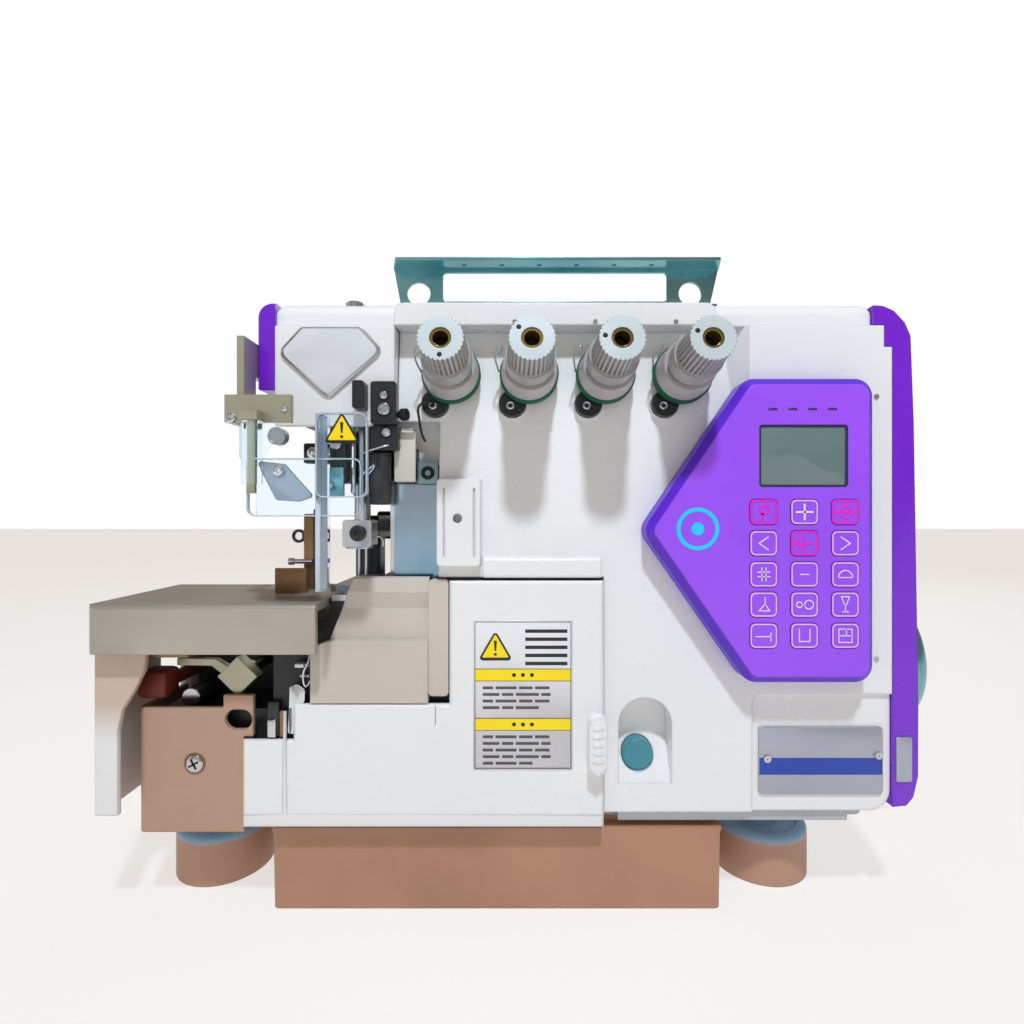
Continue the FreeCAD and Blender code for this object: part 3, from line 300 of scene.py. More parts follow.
# ---------------------------------------------------------------------------------------------
# Clear guard. Bent acrylic sheet with fine scuffs from wiping.
# ---------------------------------------------------------------------------------------------
guard_plastic, guard_tree, guard_shader = new_finish("guard_plastic")
guard_shader.inputs["Base Color"].default_value = (0.86, 0.94, 1.0, 1.0)
guard_shader.inputs["Transmission Weight"].default_value = 1.0
guard_shader.inputs["IOR"].default_value = 1.08
scuff = object_noise(guard_tree, 60.0, 6.0)
guard_tree.links.new(level(guard_tree, scuff.outputs["Fac"], 0.02, 0.12).outputs["Result"],
                     guard_shader.inputs["Roughness"])
dress(guard_plastic, "eye_guard")

# ---------------------------------------------------------------------------------------------
# Control panel. A purple moulded housing with a darker bevelled rim and a printed membrane: a
# display window edged with a painted shade line, four indicator lights, fifteen outlined keys and a plain cyan
# roundel.
# ---------------------------------------------------------------------------------------------
def finished(name, mesh, material, body):
    piece = bpy.data.objects.new(name, mesh)
    bpy.context.collection.objects.link(piece)
    mesh.materials.append(material)
    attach(piece, body)
    return piece


def mesh_of(name, bm, smooth_angle=40.0):
    bmesh.ops.scale(bm, vec=(MM, MM, MM), verts=bm.verts)
    bmesh.ops.recalc_face_normals(bm, faces=bm.faces)
    limit = math.radians(smooth_angle)
    for face in bm.faces:
        face.smooth = True
    for edge in bm.edges:
        edge.smooth = len(edge.link_faces) == 2 and edge.calc_face_angle(0.0) < limit
    mesh = bpy.data.meshes.new(name)
    bm.to_mesh(mesh)
    bm.free()
    return mesh


def keep(name, bm, material, body):
    """Makes a piece from a bmesh in millimetres and fixes it to a body."""
    return finished(name, mesh_of(name, bm), material, body)


def rounded_outline(points, radius, steps=5):
    """A closed outline with each corner rounded by an arc."""
    result = []
    count = len(points)
    for i in range(count):
        corner = Vector(points[i])
        before = (Vector(points[i - 1]) - corner)
        after = (Vector(points[(i + 1) % count]) - corner)
        half = before.angle(after) / 2
        reach = min(radius / math.tan(half), before.length * 0.49, after.length * 0.49)
        arc = reach * math.tan(half)
        start = corner + before.normalized() * reach
        end = corner + after.normalized() * reach
        middle = corner + (before.normalized() + after.normalized()).normalized() * (arc / math.sin(half))
        a, b = start - middle, end - middle
        for k in range(steps + 1):
            share = k / steps
            angle = a.angle_signed(b) * -share
            turned = Matrix.Rotation(angle, 2) @ a
            result.append(tuple(middle + turned))
    return result


def add_slab(bm, outline, y0, y1, bevel=0.0):
    """Adds a slab with an outline of (x, z) points, from y0 in front to y1 behind."""
    front = [bm.verts.new((x, y0, z)) for x, z in outline]
    back = [bm.verts.new((x, y1, z)) for x, z in outline]
    face = bm.faces.new(front)
    bm.faces.new(back)
    for i in range(len(outline)):
        j = (i + 1) % len(outline)
        bm.faces.new((front[i], front[j], back[j], back[i]))
    if bevel:
        bmesh.ops.bevel(bm, geom=list(face.edges), offset=bevel, segments=2, affect="EDGES", profile=0.5)


def add_stroke(bm, points, width, y0, y1, closed=False):
    """Adds a raised line through (x, z) points."""
    path = [Vector(p) for p in points]
    count = len(path)
    left, right = [], []
    for i, here in enumerate(path):
        before = path[i - 1] if closed or i else here
        after = path[(i + 1) % count] if closed or i + 1 < count else here
        along_in, along_out = (here - before), (after - here)
        along_in = along_in.normalized() if along_in.length else along_out.normalized()
        along_out = along_out.normalized() if along_out.length else along_in
        along = (along_in + along_out).normalized()
        spread = 1.0 / max(0.5, along.dot(along_out))
        side = Vector((-along.y, along.x)) * width / 2 * spread
        left.append(here + side)
        right.append(here - side)
    rows = [[bm.verts.new((p.x, y, p.y)) for p in line] for line, y in
            ((left, y0), (right, y0), (right, y1), (left, y1))]
    last = count if closed else count - 1
    for i in range(last):
        j = (i + 1) % count
        for a, b in ((0, 1), (1, 2), (2, 3), (3, 0)):
            bm.faces.new((rows[a][i], rows[a][j], rows[b][j], rows[b][i]))
    if not closed:
        bm.faces.new([row[0] for row in rows])
        bm.faces.new([row[-1] for row in reversed(rows)])


def circle(x, z, radius, steps=32, start=0.0, sweep=360.0):
    count = steps if sweep == 360.0 else steps + 1
    return [(x + radius * math.cos(math.radians(start + sweep * k / steps)),
             z + radius * math.sin(math.radians(start + sweep * k / steps))) for k in range(count)]


def node_box(node):
    """A CAD piece's lowest and highest corners, in millimetres."""
    return [Vector(corner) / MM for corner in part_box(node)]


panel_face = node_box("control_panel_housing")[0].y
rim_start, rim_end = (panel_face + 0.05) * MM, (panel_face + 0.6) * MM
second_tone(panel_purple, object_axis(panel_purple.node_tree, "Y"), rim_start, rim_end, (0.095, 0.012, 0.60))

key_line = coat_finish("key_line_ink", (1.0, 0.60, 0.86), (0.95, 0.52, 0.80), 0.4)
key_magenta = coat_finish("key_magenta_ink", (0.88, 0.012, 0.66), (0.80, 0.008, 0.58), 0.4)
symbol_ink = coat_finish("symbol_ink", (1.0, 0.84, 0.95), (0.95, 0.78, 0.90), 0.4)
MAGENTA_KEYS = (1, 3, 5)


def key_symbol(number, x, z):
    """Plain strokes for one key's symbol, centred on the key."""
    def at(*points):
        return [(x + px, z + pz) for px, pz in points]

    if number == 1:
        return [(circle(x + 0.3, z + 1.0, 1.9, 18), True), (at((-0.6, -0.6), (-1.0, -4.2)), False)]
    if number == 2:
        return [(at((-4.0, 0), (4.0, 0)), False), (at((0, -3.8), (0, 3.8)), False)]
    if number == 3:
        return [(at((-3.6, 0), (0, 3.2), (3.6, 0), (0, -3.2)), True), (at((-1.6, 0), (1.6, 0)), False)]
    if number == 4:
        return [(at((2.2, 3.0), (-2.2, 0), (2.2, -3.0)), False)]
    if number == 5:
        return [(at((-0.5, 3.0), (-4.0, 0), (-0.5, -3.0), (-0.5, 0), (3.8, 0)), False)]
    if number == 6:
        return [(at((-2.2, 3.0), (2.2, 0), (-2.2, -3.0)), False)]
    if number == 7:
        return [(at((-0.9 + s, -3.2), (-0.9 + s, 3.2)), False) for s in (0.0, 1.9)] + \
               [(at((-3.0, -1.0 + s), (3.0, -1.0 + s)), False) for s in (0.0, 2.0)]
    if number == 8:
        return [(at((-2.1, 0), (2.1, 0)), False)]
    if number == 9:
        return [(circle(x, z - 1.4, 3.2, 16, 0, 180), False), (at((-3.2, -1.4), (3.2, -1.4)), False)]
    if number == 10:
        return [(at((0.6, 3.4), (0.6, 0.4), (-2.2, -2.8), (2.6, -2.8), (0.6, 0.4)), False)]
    if number == 11:
        return [(circle(x - 2.4, z, 1.3, 14), True), (circle(x + 2.0, z, 2.0, 18), True),
                (at((-1.1, 0), (0.0, 0)), False)]
    if number == 12:
        return [(at((-1.8, 3.6), (1.8, 3.6), (0.5, 0), (-0.5, 0)), True), (at((0, 0), (0, -3.2)), False),
                (at((-1.5, -3.2), (1.5, -3.2)), False)]
    if number == 13:
        return [(at((-3.8, -0.4), (3.2, -0.4)), False), (at((3.2, 1.6), (3.2, -2.6)), False)]
    if number == 14:
        return [(at((-2.4, 3.2), (-2.4, -2.6), (2.4, -2.6), (2.4, 3.2)), False)]
    return [(at((-3.0, -3.0), (3.0, -3.0), (3.0, 3.0), (-3.0, 3.0)), True), (at((-3.0, 0), (3.0, 0)), False),
            (at((0.4, 0), (0.4, 3.0)), False)]


for number in range(1, 16):
    node = "key_%02d" % number
    low, high = node_box(node)
    face = low.y
    outline = rounded_outline([(low.x + 0.4, low.z + 0.4), (high.x - 0.4, low.z + 0.4),
                               (high.x - 0.4, high.z - 0.4), (low.x + 0.4, high.z - 0.4)], 2.0)
    magenta = number in MAGENTA_KEYS
    bm = bmesh.new()
    add_stroke(bm, outline, 1.0 if magenta else 0.62, face - 0.12, face + 0.03, closed=True)
    keep(node + "_outline", bm, key_magenta if magenta else key_line, node)
    bm = bmesh.new()
    for line, closed in key_symbol(number, (low.x + high.x) / 2, (low.z + high.z) / 2):
        add_stroke(bm, line, 1.15 if magenta else (0.85 if number == 2 else 0.5), face - 0.12, face + 0.03, closed)
    keep(node + "_symbol", bm, key_magenta if magenta else symbol_ink, node)

display_glass = coat_finish("display_glass", (0.135, 0.205, 0.205), (0.115, 0.180, 0.185), 0.12, coat=0.8)
display_shade_and_lamp_black = coat_finish("display_shade_and_lamp_black", (0.030, 0.030, 0.085), (0.025, 0.022, 0.07), 0.3)
display = (123.2, 163.5, 203.3, 231.6)


def rectangle(x0, x1, z0, z1, inset=0.0):
    return [(x0 + inset, z0 + inset), (x1 - inset, z0 + inset), (x1 - inset, z1 - inset), (x0 + inset, z1 - inset)]


bm = bmesh.new()
add_slab(bm, rounded_outline(rectangle(*display, 0.2), 1.2), panel_face + 0.7, panel_face + 1.15, 0.15)
keep("display_window", bm, display_glass, "machine_body")
# the dark line round the display window is painted shade along its recessed edge
bm = bmesh.new()
edge_shade_line = rounded_outline(rectangle(*display, 0.5), 1.2)
add_stroke(bm, edge_shade_line, 1.0, panel_face + 0.45, panel_face + 0.75, closed=True)
keep("display_edge_shade", bm, display_shade_and_lamp_black, "machine_body")
# the indicator lights use the same dark colour as their own
light_xs = (129.3, 138.3, 147.3, 156.3)
bm = bmesh.new()
for x in light_xs:
    light_bar = rounded_outline(rectangle(x - 2.1, x + 2.1, 238.2, 239.2), 0.45)
    add_slab(bm, light_bar, panel_face - 0.12, panel_face + 0.1, 0.05)
keep("indicator_lights", bm, display_shade_and_lamp_black, "machine_body")

roundel_ink = coat_finish("roundel_ink", (0.020, 0.62, 1.0), (0.018, 0.56, 0.95), 0.35)
roundel = (95.3, 184.3)
bm = bmesh.new()
add_stroke(bm, circle(*roundel, 8.8, 48), 1.9, panel_face - 0.12, panel_face + 0.05, closed=True)
add_slab(bm, circle(*roundel, 3.0, 32), panel_face - 0.12, panel_face + 0.05)
keep("roundel", bm, roundel_ink, "machine_body")

# ---------------------------------------------------------------------------------------------
# Instruction label. A white printed sticker on the looper cover with a thin dark frame, two yellow
# bands, a general hazard triangle and ruled lines where the printed instructions would be.
# ---------------------------------------------------------------------------------------------
cover_face = -103.0
sticker_white = coat_finish("sticker_white", (0.84, 0.85, 0.88), (0.80, 0.81, 0.85), 0.28)
print_black = coat_finish("print_black", (0.016, 0.016, 0.022), (0.010, 0.010, 0.014), 0.35)
print_grey = coat_finish("print_grey", (0.085, 0.085, 0.10), (0.06, 0.06, 0.075), 0.4)
print_yellow = coat_finish("print_yellow", (1.0, 0.76, 0.0), (0.95, 0.70, 0.0), 0.3)
label = (-7.3, 39.6, 70.8, 141.3)


def add_triangle_sign(bm_black, bm_yellow, x, z, size, y):
    """A hazard triangle: black rounded plate, yellow field and a black mark."""
    def corners(s):
        return [(x - s, z - s * 0.78), (x + s, z - s * 0.78), (x, z + s * 0.95)]

    add_slab(bm_black, rounded_outline(corners(size), size * 0.16), y - 0.10, y)
    add_slab(bm_yellow, rounded_outline(corners(size * 0.78), size * 0.05), y - 0.18, y - 0.10)
    mark = [(x - size * 0.085, z + size * 0.36), (x + size * 0.085, z + size * 0.36),
            (x + size * 0.045, z - size * 0.22), (x - size * 0.045, z - size * 0.22)]
    add_slab(bm_black, mark, y - 0.26, y - 0.18)
    add_slab(bm_black, circle(x, z - size * 0.42, size * 0.085, 14), y - 0.26, y - 0.18)


x0, x1, z0, z1 = label
top = cover_face - 0.12
bm = bmesh.new()
add_slab(bm, rounded_outline(rectangle(*label), 1.0), top, cover_face, 0.04)
keep("label_sheet", bm, sticker_white, "looper_cover")
black, yellow, grey = bmesh.new(), bmesh.new(), bmesh.new()
ink = top - 0.05
add_stroke(black, rectangle(*label, 0.9), 0.35, ink, top, closed=True)
triangle_field = z1 - 23.0
lower_band = triangle_field - 23.2
for band_top in (triangle_field, lower_band):
    add_slab(yellow, rectangle(x0 + 0.9, x1 - 0.9, band_top - 5.6, band_top), ink, top)
    for edge in (band_top, band_top - 5.6):
        add_stroke(black, [(x0 + 0.9, edge), (x1 - 0.9, edge)], 0.25, ink - 0.03, top)
    for k in range(3):
        middle = (x0 + x1) / 2 + (k - 1) * 4.2
        add_slab(black, circle(middle, band_top - 2.8, 0.95, 16), ink - 0.04, ink)
add_triangle_sign(black, yellow, x0 + 10.5, z1 - 12.6, 8.2, top)
for row in range(5):
    add_slab(black, rectangle(x0 + 24.5, x1 - 2.6, z1 - 4.4 - row * 3.8 - 1.6, z1 - 4.4 - row * 3.8), ink, top)
for block_top, rows in ((triangle_field - 8.2, 4), (lower_band - 8.0, 5)):
    for row in range(rows):
        z = block_top - row * 3.1
        words = (9.0, 6.5, 12.0, 5.5) if row % 2 else (6.0, 11.0, 7.5, 8.0)
        place = x0 + 4.6
        for width in words:
            if row == rows - 1 and place > (x0 + x1) / 2:
                break
            add_slab(grey, rectangle(place, place + width - 1.2, z - 1.3, z), ink, top)
            place += width
keep("label_lines", black, print_black, "looper_cover")
keep("label_bands", yellow, print_yellow, "looper_cover")
keep("label_text_bars", grey, print_grey, "looper_cover")

# ---------------------------------------------------------------------------------------------
# Looper cover trim. The pressed cover has a raised panel on its lower left, a bevelled foot along
# its bottom edge and a moulded pull grip at its right edge.
# ---------------------------------------------------------------------------------------------
bm = bmesh.new()
add_slab(bm, [(-115.0, 44.4), (53.4, 44.4), (53.4, 50.2), (-94.8, 50.2), (-94.8, 98.5), (-96.4, 98.5), (-96.4, 50.2),
              (-115.0, 50.2)], cover_face - 0.55, cover_face + 0.05, 0.35)
keep("cover_foot_trim", bm, white_enamel, "looper_cover")
bm = bmesh.new()
add_slab(bm, rounded_outline(rectangle(46.4, 54.6, 71.0, 98.0), 3.2, 6), cover_face - 7.0, cover_face + 0.4, 1.6)
for k in range(5):
    z = 77.0 + k * 3.75
    add_slab(bm, rounded_outline(rectangle(48.0, 53.0, z, z + 1.1), 0.5), cover_face - 7.35, cover_face - 6.8, 0.2)
keep("cover_grip", bm, white_enamel, "looper_cover")
bm = bmesh.new()
add_stroke(bm, [(-25.0, 101.0), (-25.0, 92.0)], 0.35, cover_face - 0.08, cover_face + 0.02)
keep("cover_crease", bm, coat_finish("crease_shade", (0.30, 0.30, 0.31),
         (0.25, 0.25, 0.26), 0.5), "looper_cover")

# ---------------------------------------------------------------------------------------------
# Plain badges. A bevelled diamond plate on the head and a brushed plate with a blue stripe and two
# rivets at the lower right; both are left blank.
# ---------------------------------------------------------------------------------------------
badge_silver = coat_finish("badge_silver", (0.42, 0.44, 0.51), (0.36, 0.38, 0.45), 0.22, 1800.0, 0.00002, 0.0005,
                           metal=0.35, coat=0.3)
badge_edge = coat_finish("badge_edge", (0.42, 0.43, 0.46), (0.62, 0.63, 0.66), 0.18, metal=0.8)
head_face = node_box("head_front_cover")[0].y
diamond = [(-89.2, 279.9), (-60.4, 279.9), (-50.2, 268.6), (-76.4, 245.6), (-100.4, 267.8)]
bm = bmesh.new()
add_slab(bm, rounded_outline(diamond, 3.2, 6), head_face - 1.1, head_face, 0.5)
keep("diamond_badge_rim", bm, badge_edge, "machine_body")
centre = Vector((-75.6, 266.0))
inner = [tuple(centre + (Vector(p) - centre) * 0.925) for p in diamond]
bm = bmesh.new()
add_slab(bm, rounded_outline(inner, 2.6, 6), head_face - 1.9, head_face - 1.0, 0.6)
keep("diamond_badge", bm, coat_finish("badge_white", (0.78, 0.80, 0.84),
         (0.70, 0.73, 0.78), 0.16, 1500.0, 0.00002, 0.0005, metal=0.1, coat=0.6), "machine_body")
fascia_face = -97.4
bm = bmesh.new()
add_slab(bm, rounded_outline(rectangle(128.9, 188.2, 57.1, 89.4), 1.6), fascia_face - 1.0, fascia_face, 0.25)
keep("badge_plate", bm, badge_silver, "machine_body")
bm = bmesh.new()
add_slab(bm, rectangle(129.2, 187.9, 66.5, 74.5), fascia_face - 1.08, fascia_face - 0.99)
keep("badge_stripe", bm, coat_finish("badge_blue", (0.002, 0.045, 0.42),
         (0.001, 0.035, 0.36), 0.3, coat=0.3), "machine_body")
bm = bmesh.new()
add_slab(bm, rounded_outline(rectangle(193.9, 201.3, 63.6, 84.8), 0.8), -99.7, -98.6, 0.2)
keep("end_cover_plate", bm, badge_silver, "machine_body")

# ---------------------------------------------------------------------------------------------
# Thread tensions. Each post carries a brass bush pressed into the end of its knurled knob, a pin
# hole beside it, a wire check spring and a lug with a bright eyelet below the felt ring.
# ---------------------------------------------------------------------------------------------
TENSION_XS = (-18.2, 19.2, 56.0, 93.0)
tension_foot = Vector((0.0, -90.74, 257.5))
tension_out = Vector((0.0, -math.cos(math.radians(6.5)), math.sin(math.radians(6.5))))
brass = coat_finish("brass", (0.36, 0.27, 0.075), (0.25, 0.18, 0.05), 0.26, 1800.0, 0.00002, 0.0003, metal=0.85)
hole_black = coat_finish("hole_black", (0.004, 0.004, 0.005), (0.002, 0.002, 0.003), 0.6)
eyelet_steel = coat_finish("eyelet_steel", (0.62, 0.63, 0.64), (0.42, 0.43, 0.45), 0.16, 2000.0, 0.00002, 0.0003,
                           metal=1.0)


def add_turned(bm, start, along, profile, steps=32):
    """Adds a turned piece: profile gives (distance, radius) pairs along the axis from start."""
    along = along.normalized()
    side = along.orthogonal().normalized()
    other = along.cross(side)
    rows = []
    for distance, radius in profile:
        middle = start + along * distance
        if radius < 1e-6:
            rows.append([bm.verts.new(middle)])
            continue
        rows.append([bm.verts.new(middle + (side * math.cos(t) + other * math.sin(t)) * radius)
                     for t in (2 * math.pi * k / steps for k in range(steps))])
    for row, after in zip(rows, rows[1:]):
        for k in range(steps):
            j = (k + 1) % steps
            ring = [row[k % len(row)], row[j % len(row)], after[j % len(after)], after[k % len(after)]]
            bm.faces.new(list(dict.fromkeys(ring)))
    for row in (rows[0], rows[-1]):
        if len(row) > 1:
            bm.faces.new(row)


def add_tube(bm, start, along, inner, outer, depth, steps=32, ease=0.15):
    """Adds a short tube with eased mouths."""
    profile = [(0.0, inner + ease), (0.0, outer - ease), (ease, outer), (depth - ease, outer), (depth, outer - ease),
               (depth, inner + ease), (depth - ease, inner), (ease, inner)]
    along = along.normalized()
    side = along.orthogonal().normalized()
    other = along.cross(side)
    rows = [[bm.verts.new(start + along * d + (side * math.cos(t) + other * math.sin(t)) * r)
             for t in (2 * math.pi * k / steps for k in range(steps))] for d, r in profile]
    for i, row in enumerate(rows):
        after = rows[(i + 1) % len(rows)]
        for k in range(steps):
            j = (k + 1) % steps
            bm.faces.new((row[k], row[j], after[j], after[k]))


def wire(name, points, radius, material, body, closed=False):
    """A bent round wire through the given places, in millimetres."""
    curve = bpy.data.curves.new(name + "_line", "CURVE")
    curve.dimensions = "3D"
    curve.bevel_depth = radius * MM
    curve.bevel_resolution = 3
    curve.use_fill_caps = True
    spline = curve.splines.new("NURBS")
    spline.points.add(len(points) - 1)
    for point, place in zip(spline.points, points):
        point.co = (*(Vector(place) * MM), 1.0)
    spline.use_cyclic_u = closed
    spline.order_u = 3
    spline.use_endpoint_u = not closed
    spline.resolution_u = 6
    holder = bpy.data.objects.new(name + "_line", curve)
    bpy.context.collection.objects.link(holder)
    mesh = bpy.data.meshes.new_from_object(holder.evaluated_get(bpy.context.evaluated_depsgraph_get()))
    bpy.data.objects.remove(holder)
    mesh.name = name
    mesh.materials.clear()
    for polygon in mesh.polygons:
        polygon.use_smooth = True
    return finished(name, mesh, material, body)


pin_hole_turns = (-92.0, 140.0, 172.0, 155.0)
bush_start, bush_bore, bush_radius, bush_length = 40.6, 3.25, 4.47, 6.9
knob_end, pin_hole_reach, pin_hole_radius = 48.0, 7.1, 1.05
bore_shade_start, bore_shade_radius = 40.05, 3.1
lug_drop, lug_shift, lug_radius, lug_rim_radius = 13.5, -8.0, 6.52, 7.35
SPRING_BENDS = ((-14.6, -6.0, 2.0), (-15.6, -11.0, 4.0), (-16.4, -15.0, 7.5), (-15.2, -18.0, 10.5),
                (-12.8, -18.6, 11.0), (-13.0, -16.6, 8.6), (-14.8, -16.4, 7.2))
for number, (x, turn) in enumerate(zip(TENSION_XS, pin_hole_turns), 1):
    knob = "tension_knob_%d" % number
    foot = tension_foot + Vector((x, 0, 0))
    bm = bmesh.new()
    add_tube(bm, foot + tension_out * bush_start, tension_out, bush_bore, bush_radius, bush_length)
    finished("tension_bush_%d" % number, mesh_of("tension_bush", bm), brass, knob)
    downhill = Vector((1, 0, 0)).cross(tension_out)
    hole = foot + tension_out * (knob_end - 0.1) + Vector((math.cos(math.radians(turn)) * pin_hole_reach, 0, 0)) \
        - downhill * math.sin(math.radians(turn)) * pin_hole_reach
    # each pin hole is a flat black disc: painted shade for the hole's depth
    bm = bmesh.new()
    add_turned(bm, hole, tension_out, [(0.0, pin_hole_radius), (0.14, pin_hole_radius),
               (0.16, pin_hole_radius - 0.1)], 20)
    finished("tension_pin_hole_%d" % number, mesh_of("tension_pin_hole", bm), hole_black, knob)
    # a black disc deep in each brass bush is painted shade for the dark inside of the bore
    bm = bmesh.new()
    add_turned(bm, foot + tension_out * bore_shade_start, tension_out,
               [(0.0, bore_shade_radius), (0.3, bore_shade_radius), (0.5, bore_shade_radius - 0.7)], 24)
    finished("tension_post_end_%d" % number, mesh_of("tension_bore_shade", bm), hole_black, "machine_body")
    lug = foot + Vector((lug_shift, 0, 0)) + downhill * lug_drop
    bm = bmesh.new()
    add_tube(bm, lug + tension_out * 0.05, tension_out, lug_radius, lug_rim_radius, 1.3, 40, 0.3)
    finished("tension_lug_rim_%d" % number, mesh_of("tension_lug_rim", bm), white_enamel, "machine_body")
    bm = bmesh.new()
    eye = lug + Vector((-1.0, 0.0, -1.2))
    add_tube(bm, eye + tension_out * 3.7, tension_out, 1.0, 2.1, 1.1, 24, 0.3)
    finished("tension_eyelet_%d" % number, mesh_of("tension_eyelet", bm), eyelet_steel, "machine_body")
    arm = [foot + Vector(bend) for bend in SPRING_BENDS]
    wire("check_spring_%d" % number, arm, 0.45, eyelet_steel, "machine_body")

# the knobs' end faces are lighter and bluer than their knurled sides
knob_tree = knob_finish.node_tree
knob_place = knob_tree.nodes.new("ShaderNodeTexCoord")
along_axis = knob_tree.nodes.new("ShaderNodeVectorMath")
along_axis.operation = "DOT_PRODUCT"
along_axis.inputs[1].default_value = tension_out
knob_tree.links.new(knob_place.outputs["Object"], along_axis.inputs[0])
end_reach = (tension_foot.dot(tension_out) + knob_end) * MM
second_tone(knob_finish, along_axis.outputs["Value"], end_reach - 0.00035, end_reach - 0.00010, (0.58, 0.66, 0.69))

# ---------------------------------------------------------------------------------------------
# Needle mechanism. Blackened guide blocks with round-headed screws, bent take-up wires, a cream
# thread plate, a square nipper block and the needle clamp's thumb screw.
# ---------------------------------------------------------------------------------------------
oiled_black = coat_finish("oiled_black", (0.013, 0.017, 0.019), (0.006, 0.008, 0.010), 0.26, 900.0, 0.00008, 0.0006,
                          coat=0.2)
polished_steel = coat_finish("polished_steel", (0.72, 0.74, 0.77), (0.50, 0.53, 0.57), 0.13, 2200.0, 0.00002, 0.0003,
                             metal=1.0)
cream_plate = coat_finish("cream_plate", (0.69, 0.68, 0.60), (0.60, 0.58, 0.50), 0.30, 1400.0, 0.00003, 0.0004)
nipper_blue = coat_finish("nipper_blue", (0.27, 0.40, 0.42), (0.20, 0.31, 0.34), 0.28, 1500.0, 0.00003, 0.0004,
                          metal=0.6)
tan_bronze = coat_finish("tan_bronze", (0.30, 0.17, 0.075), (0.21, 0.115, 0.05), 0.30, 1500.0, 0.00004, 0.0004,
                         metal=0.5)
FRONT = Vector((0.0, -1.0, 0.0))


def add_block(bm, low, high, bevel=0.5):
    """Adds a block between two corners with eased edges."""
    (x0, y0, z0), (x1, y1, z1) = low, high
    corners = [bm.verts.new((x, y, z)) for z in (z0, z1) for x, y in ((x0, y0), (x1, y0), (x1, y1), (x0, y1))]
    faces = [(3, 2, 1, 0), (4, 5, 6, 7), (0, 1, 5, 4), (1, 2, 6, 5), (2, 3, 7, 6), (3, 0, 4, 7)]
    made = [bm.faces.new([corners[i] for i in face]) for face in faces]
    if bevel:
        sides = list({edge for face in made for edge in face.edges})
        bmesh.ops.bevel(bm, geom=sides, offset=bevel, segments=2, affect="EDGES", profile=0.5)


def block(name, low, high, material, body, bevel=0.5):
    bm = bmesh.new()
    add_block(bm, low, high, bevel)
    return keep(name, bm, material, body)


def add_screw_head(bm, place, facing, radius, height, socket, dome=0.25):
    """Adds a cheese-head screw with a round socket, its seat at place."""
    lip = radius * dome
    add_turned(bm, Vector(place), Vector(facing),
               [(0.0, radius), (height - lip, radius), (height - lip * 0.3, radius - lip * 0.3),
                (height, radius - lip),
                (height, socket), (height * 0.35, socket * 0.92), (height * 0.35, 0.0)], 28)


guide_screws = (((-48.8, -105.0, 246.4), 1.9), ((-48.7, -105.0, 240.0), 3.0), ((-48.0, -103.0, 229.4), 2.2))
bm = bmesh.new()
for place, radius in guide_screws:
    add_screw_head(bm, place, FRONT, radius, 0.9, radius * 0.52)
keep("guide_block_screws", bm, polished_steel, "machine_body")
bm = bmesh.new()
for place, radius in guide_screws:
    add_turned(bm, Vector(place), FRONT, [(0.0, radius + 0.7), (0.28, radius + 0.7), (0.3, radius + 0.4)], 28)
add_turned(bm, Vector((-42.6, -100.5, 238.0)), Vector((1, -0.35, 0)),
           [(0, 1.6), (1.6, 1.6), (1.6, 2.9), (4.2, 2.9), (4.6, 2.4)])
add_turned(bm, Vector((-29.8, -94.0, 210.9)), FRONT,
           [(0, 3.3), (1.0, 3.3), (1.3, 2.9), (1.3, 1.5), (0.7, 1.3), (0.7, 0)])
keep("guide_block_seats", bm, hole_black, "machine_body")
block("nipper_block", (-34.9, -94.8, 205.6), (-24.7, -93.9, 216.2), nipper_blue, "machine_body", 0.3)
block("thread_plate", (-45.4, -98.0, 206.4), (-35.2, -96.1, 230.6), cream_plate, "machine_body", 0.4)
block("thread_plate_hook", (-44.6, -100.2, 229.6), (-35.4, -96.3, 231.8), polished_steel, "machine_body", 0.6)
block("guide_block_lower", (-57.2, -101.0, 195.5), (-46.6, -90.2, 220.8), oiled_black, "machine_body", 1.2)
block("knife_drive_cover", (-60.5, -68.0, 198.5), (-51.2, -30.0, 237.8), oiled_black, "machine_body", 1.0)
block("bar_frame", (-72.8, -70.4, 200.0), (-61.0, -64.0, 237.9), oiled_black, "machine_body", 0.8)
wire("take_up_wire", [(-59.5, -101.0, 219.6), (-57.5, -103.4, 220.2), (-50.0, -104.2, 222.6), (-44.0, -100.8, 224.4),
                      (-42.4, -98.4, 224.6)], 0.55, polished_steel, "machine_body")
wire("take_up_loop", [(-61.0, -101.5, 207.5), (-59.2, -102.4, 210.0), (-56.0, -102.6, 212.6), (-53.6, -102.0, 214.8),
                      (-54.6, -101.6, 212.0), (-57.6, -102.2, 209.0)], 0.5, polished_steel, "machine_body")
wire("front_thread_hook", [(-26.0, -96.2, 244.6), (-29.0, -99.4, 244.8), (-32.4, -100.6, 243.4),
                           (-33.8, -100.8, 240.6),
                           (-33.0, -100.6, 236.6), (-32.6, -100.4, 232.4), (-31.4, -100.0, 227.4),
                           (-30.2, -99.4, 225.6)], 0.6, oiled_black, "machine_body")
bm = bmesh.new()
add_screw_head(bm, (-65.6, -87.0, 181.4), FRONT, 4.1, 2.0, 1.5, 0.18)
keep("needle_clamp_screw", bm, oiled_black, "needle_bar")
block("needle_clamp_cap", (-71.8, -87.6, 173.6), (-60.4, -74.0, 174.6), polished_steel, "needle_bar", 0.3)
wire("needle_thread_wire", [(-59.4, -84.0, 178.6), (-57.2, -85.0, 180.0), (-54.4, -85.4, 179.6),
                            (-53.2, -85.0, 176.8),
                            (-54.0, -84.4, 174.6)], 0.5, polished_steel, "needle_bar")

# the foot and its arm are blackened above the bright sole
foot_steel = coat_finish("foot_steel", (0.66, 0.67, 0.69), (0.52, 0.53, 0.56), 0.18, 2400.0, 0.00002, 0.0004,
                         metal=1.0)
black_from, black_full = 0.1575, 0.1590
second_tone(foot_steel, object_axis(foot_steel.node_tree, "Z"), black_from, black_full, (0.03, 0.035, 0.04))
dress(foot_steel, "presser_foot")

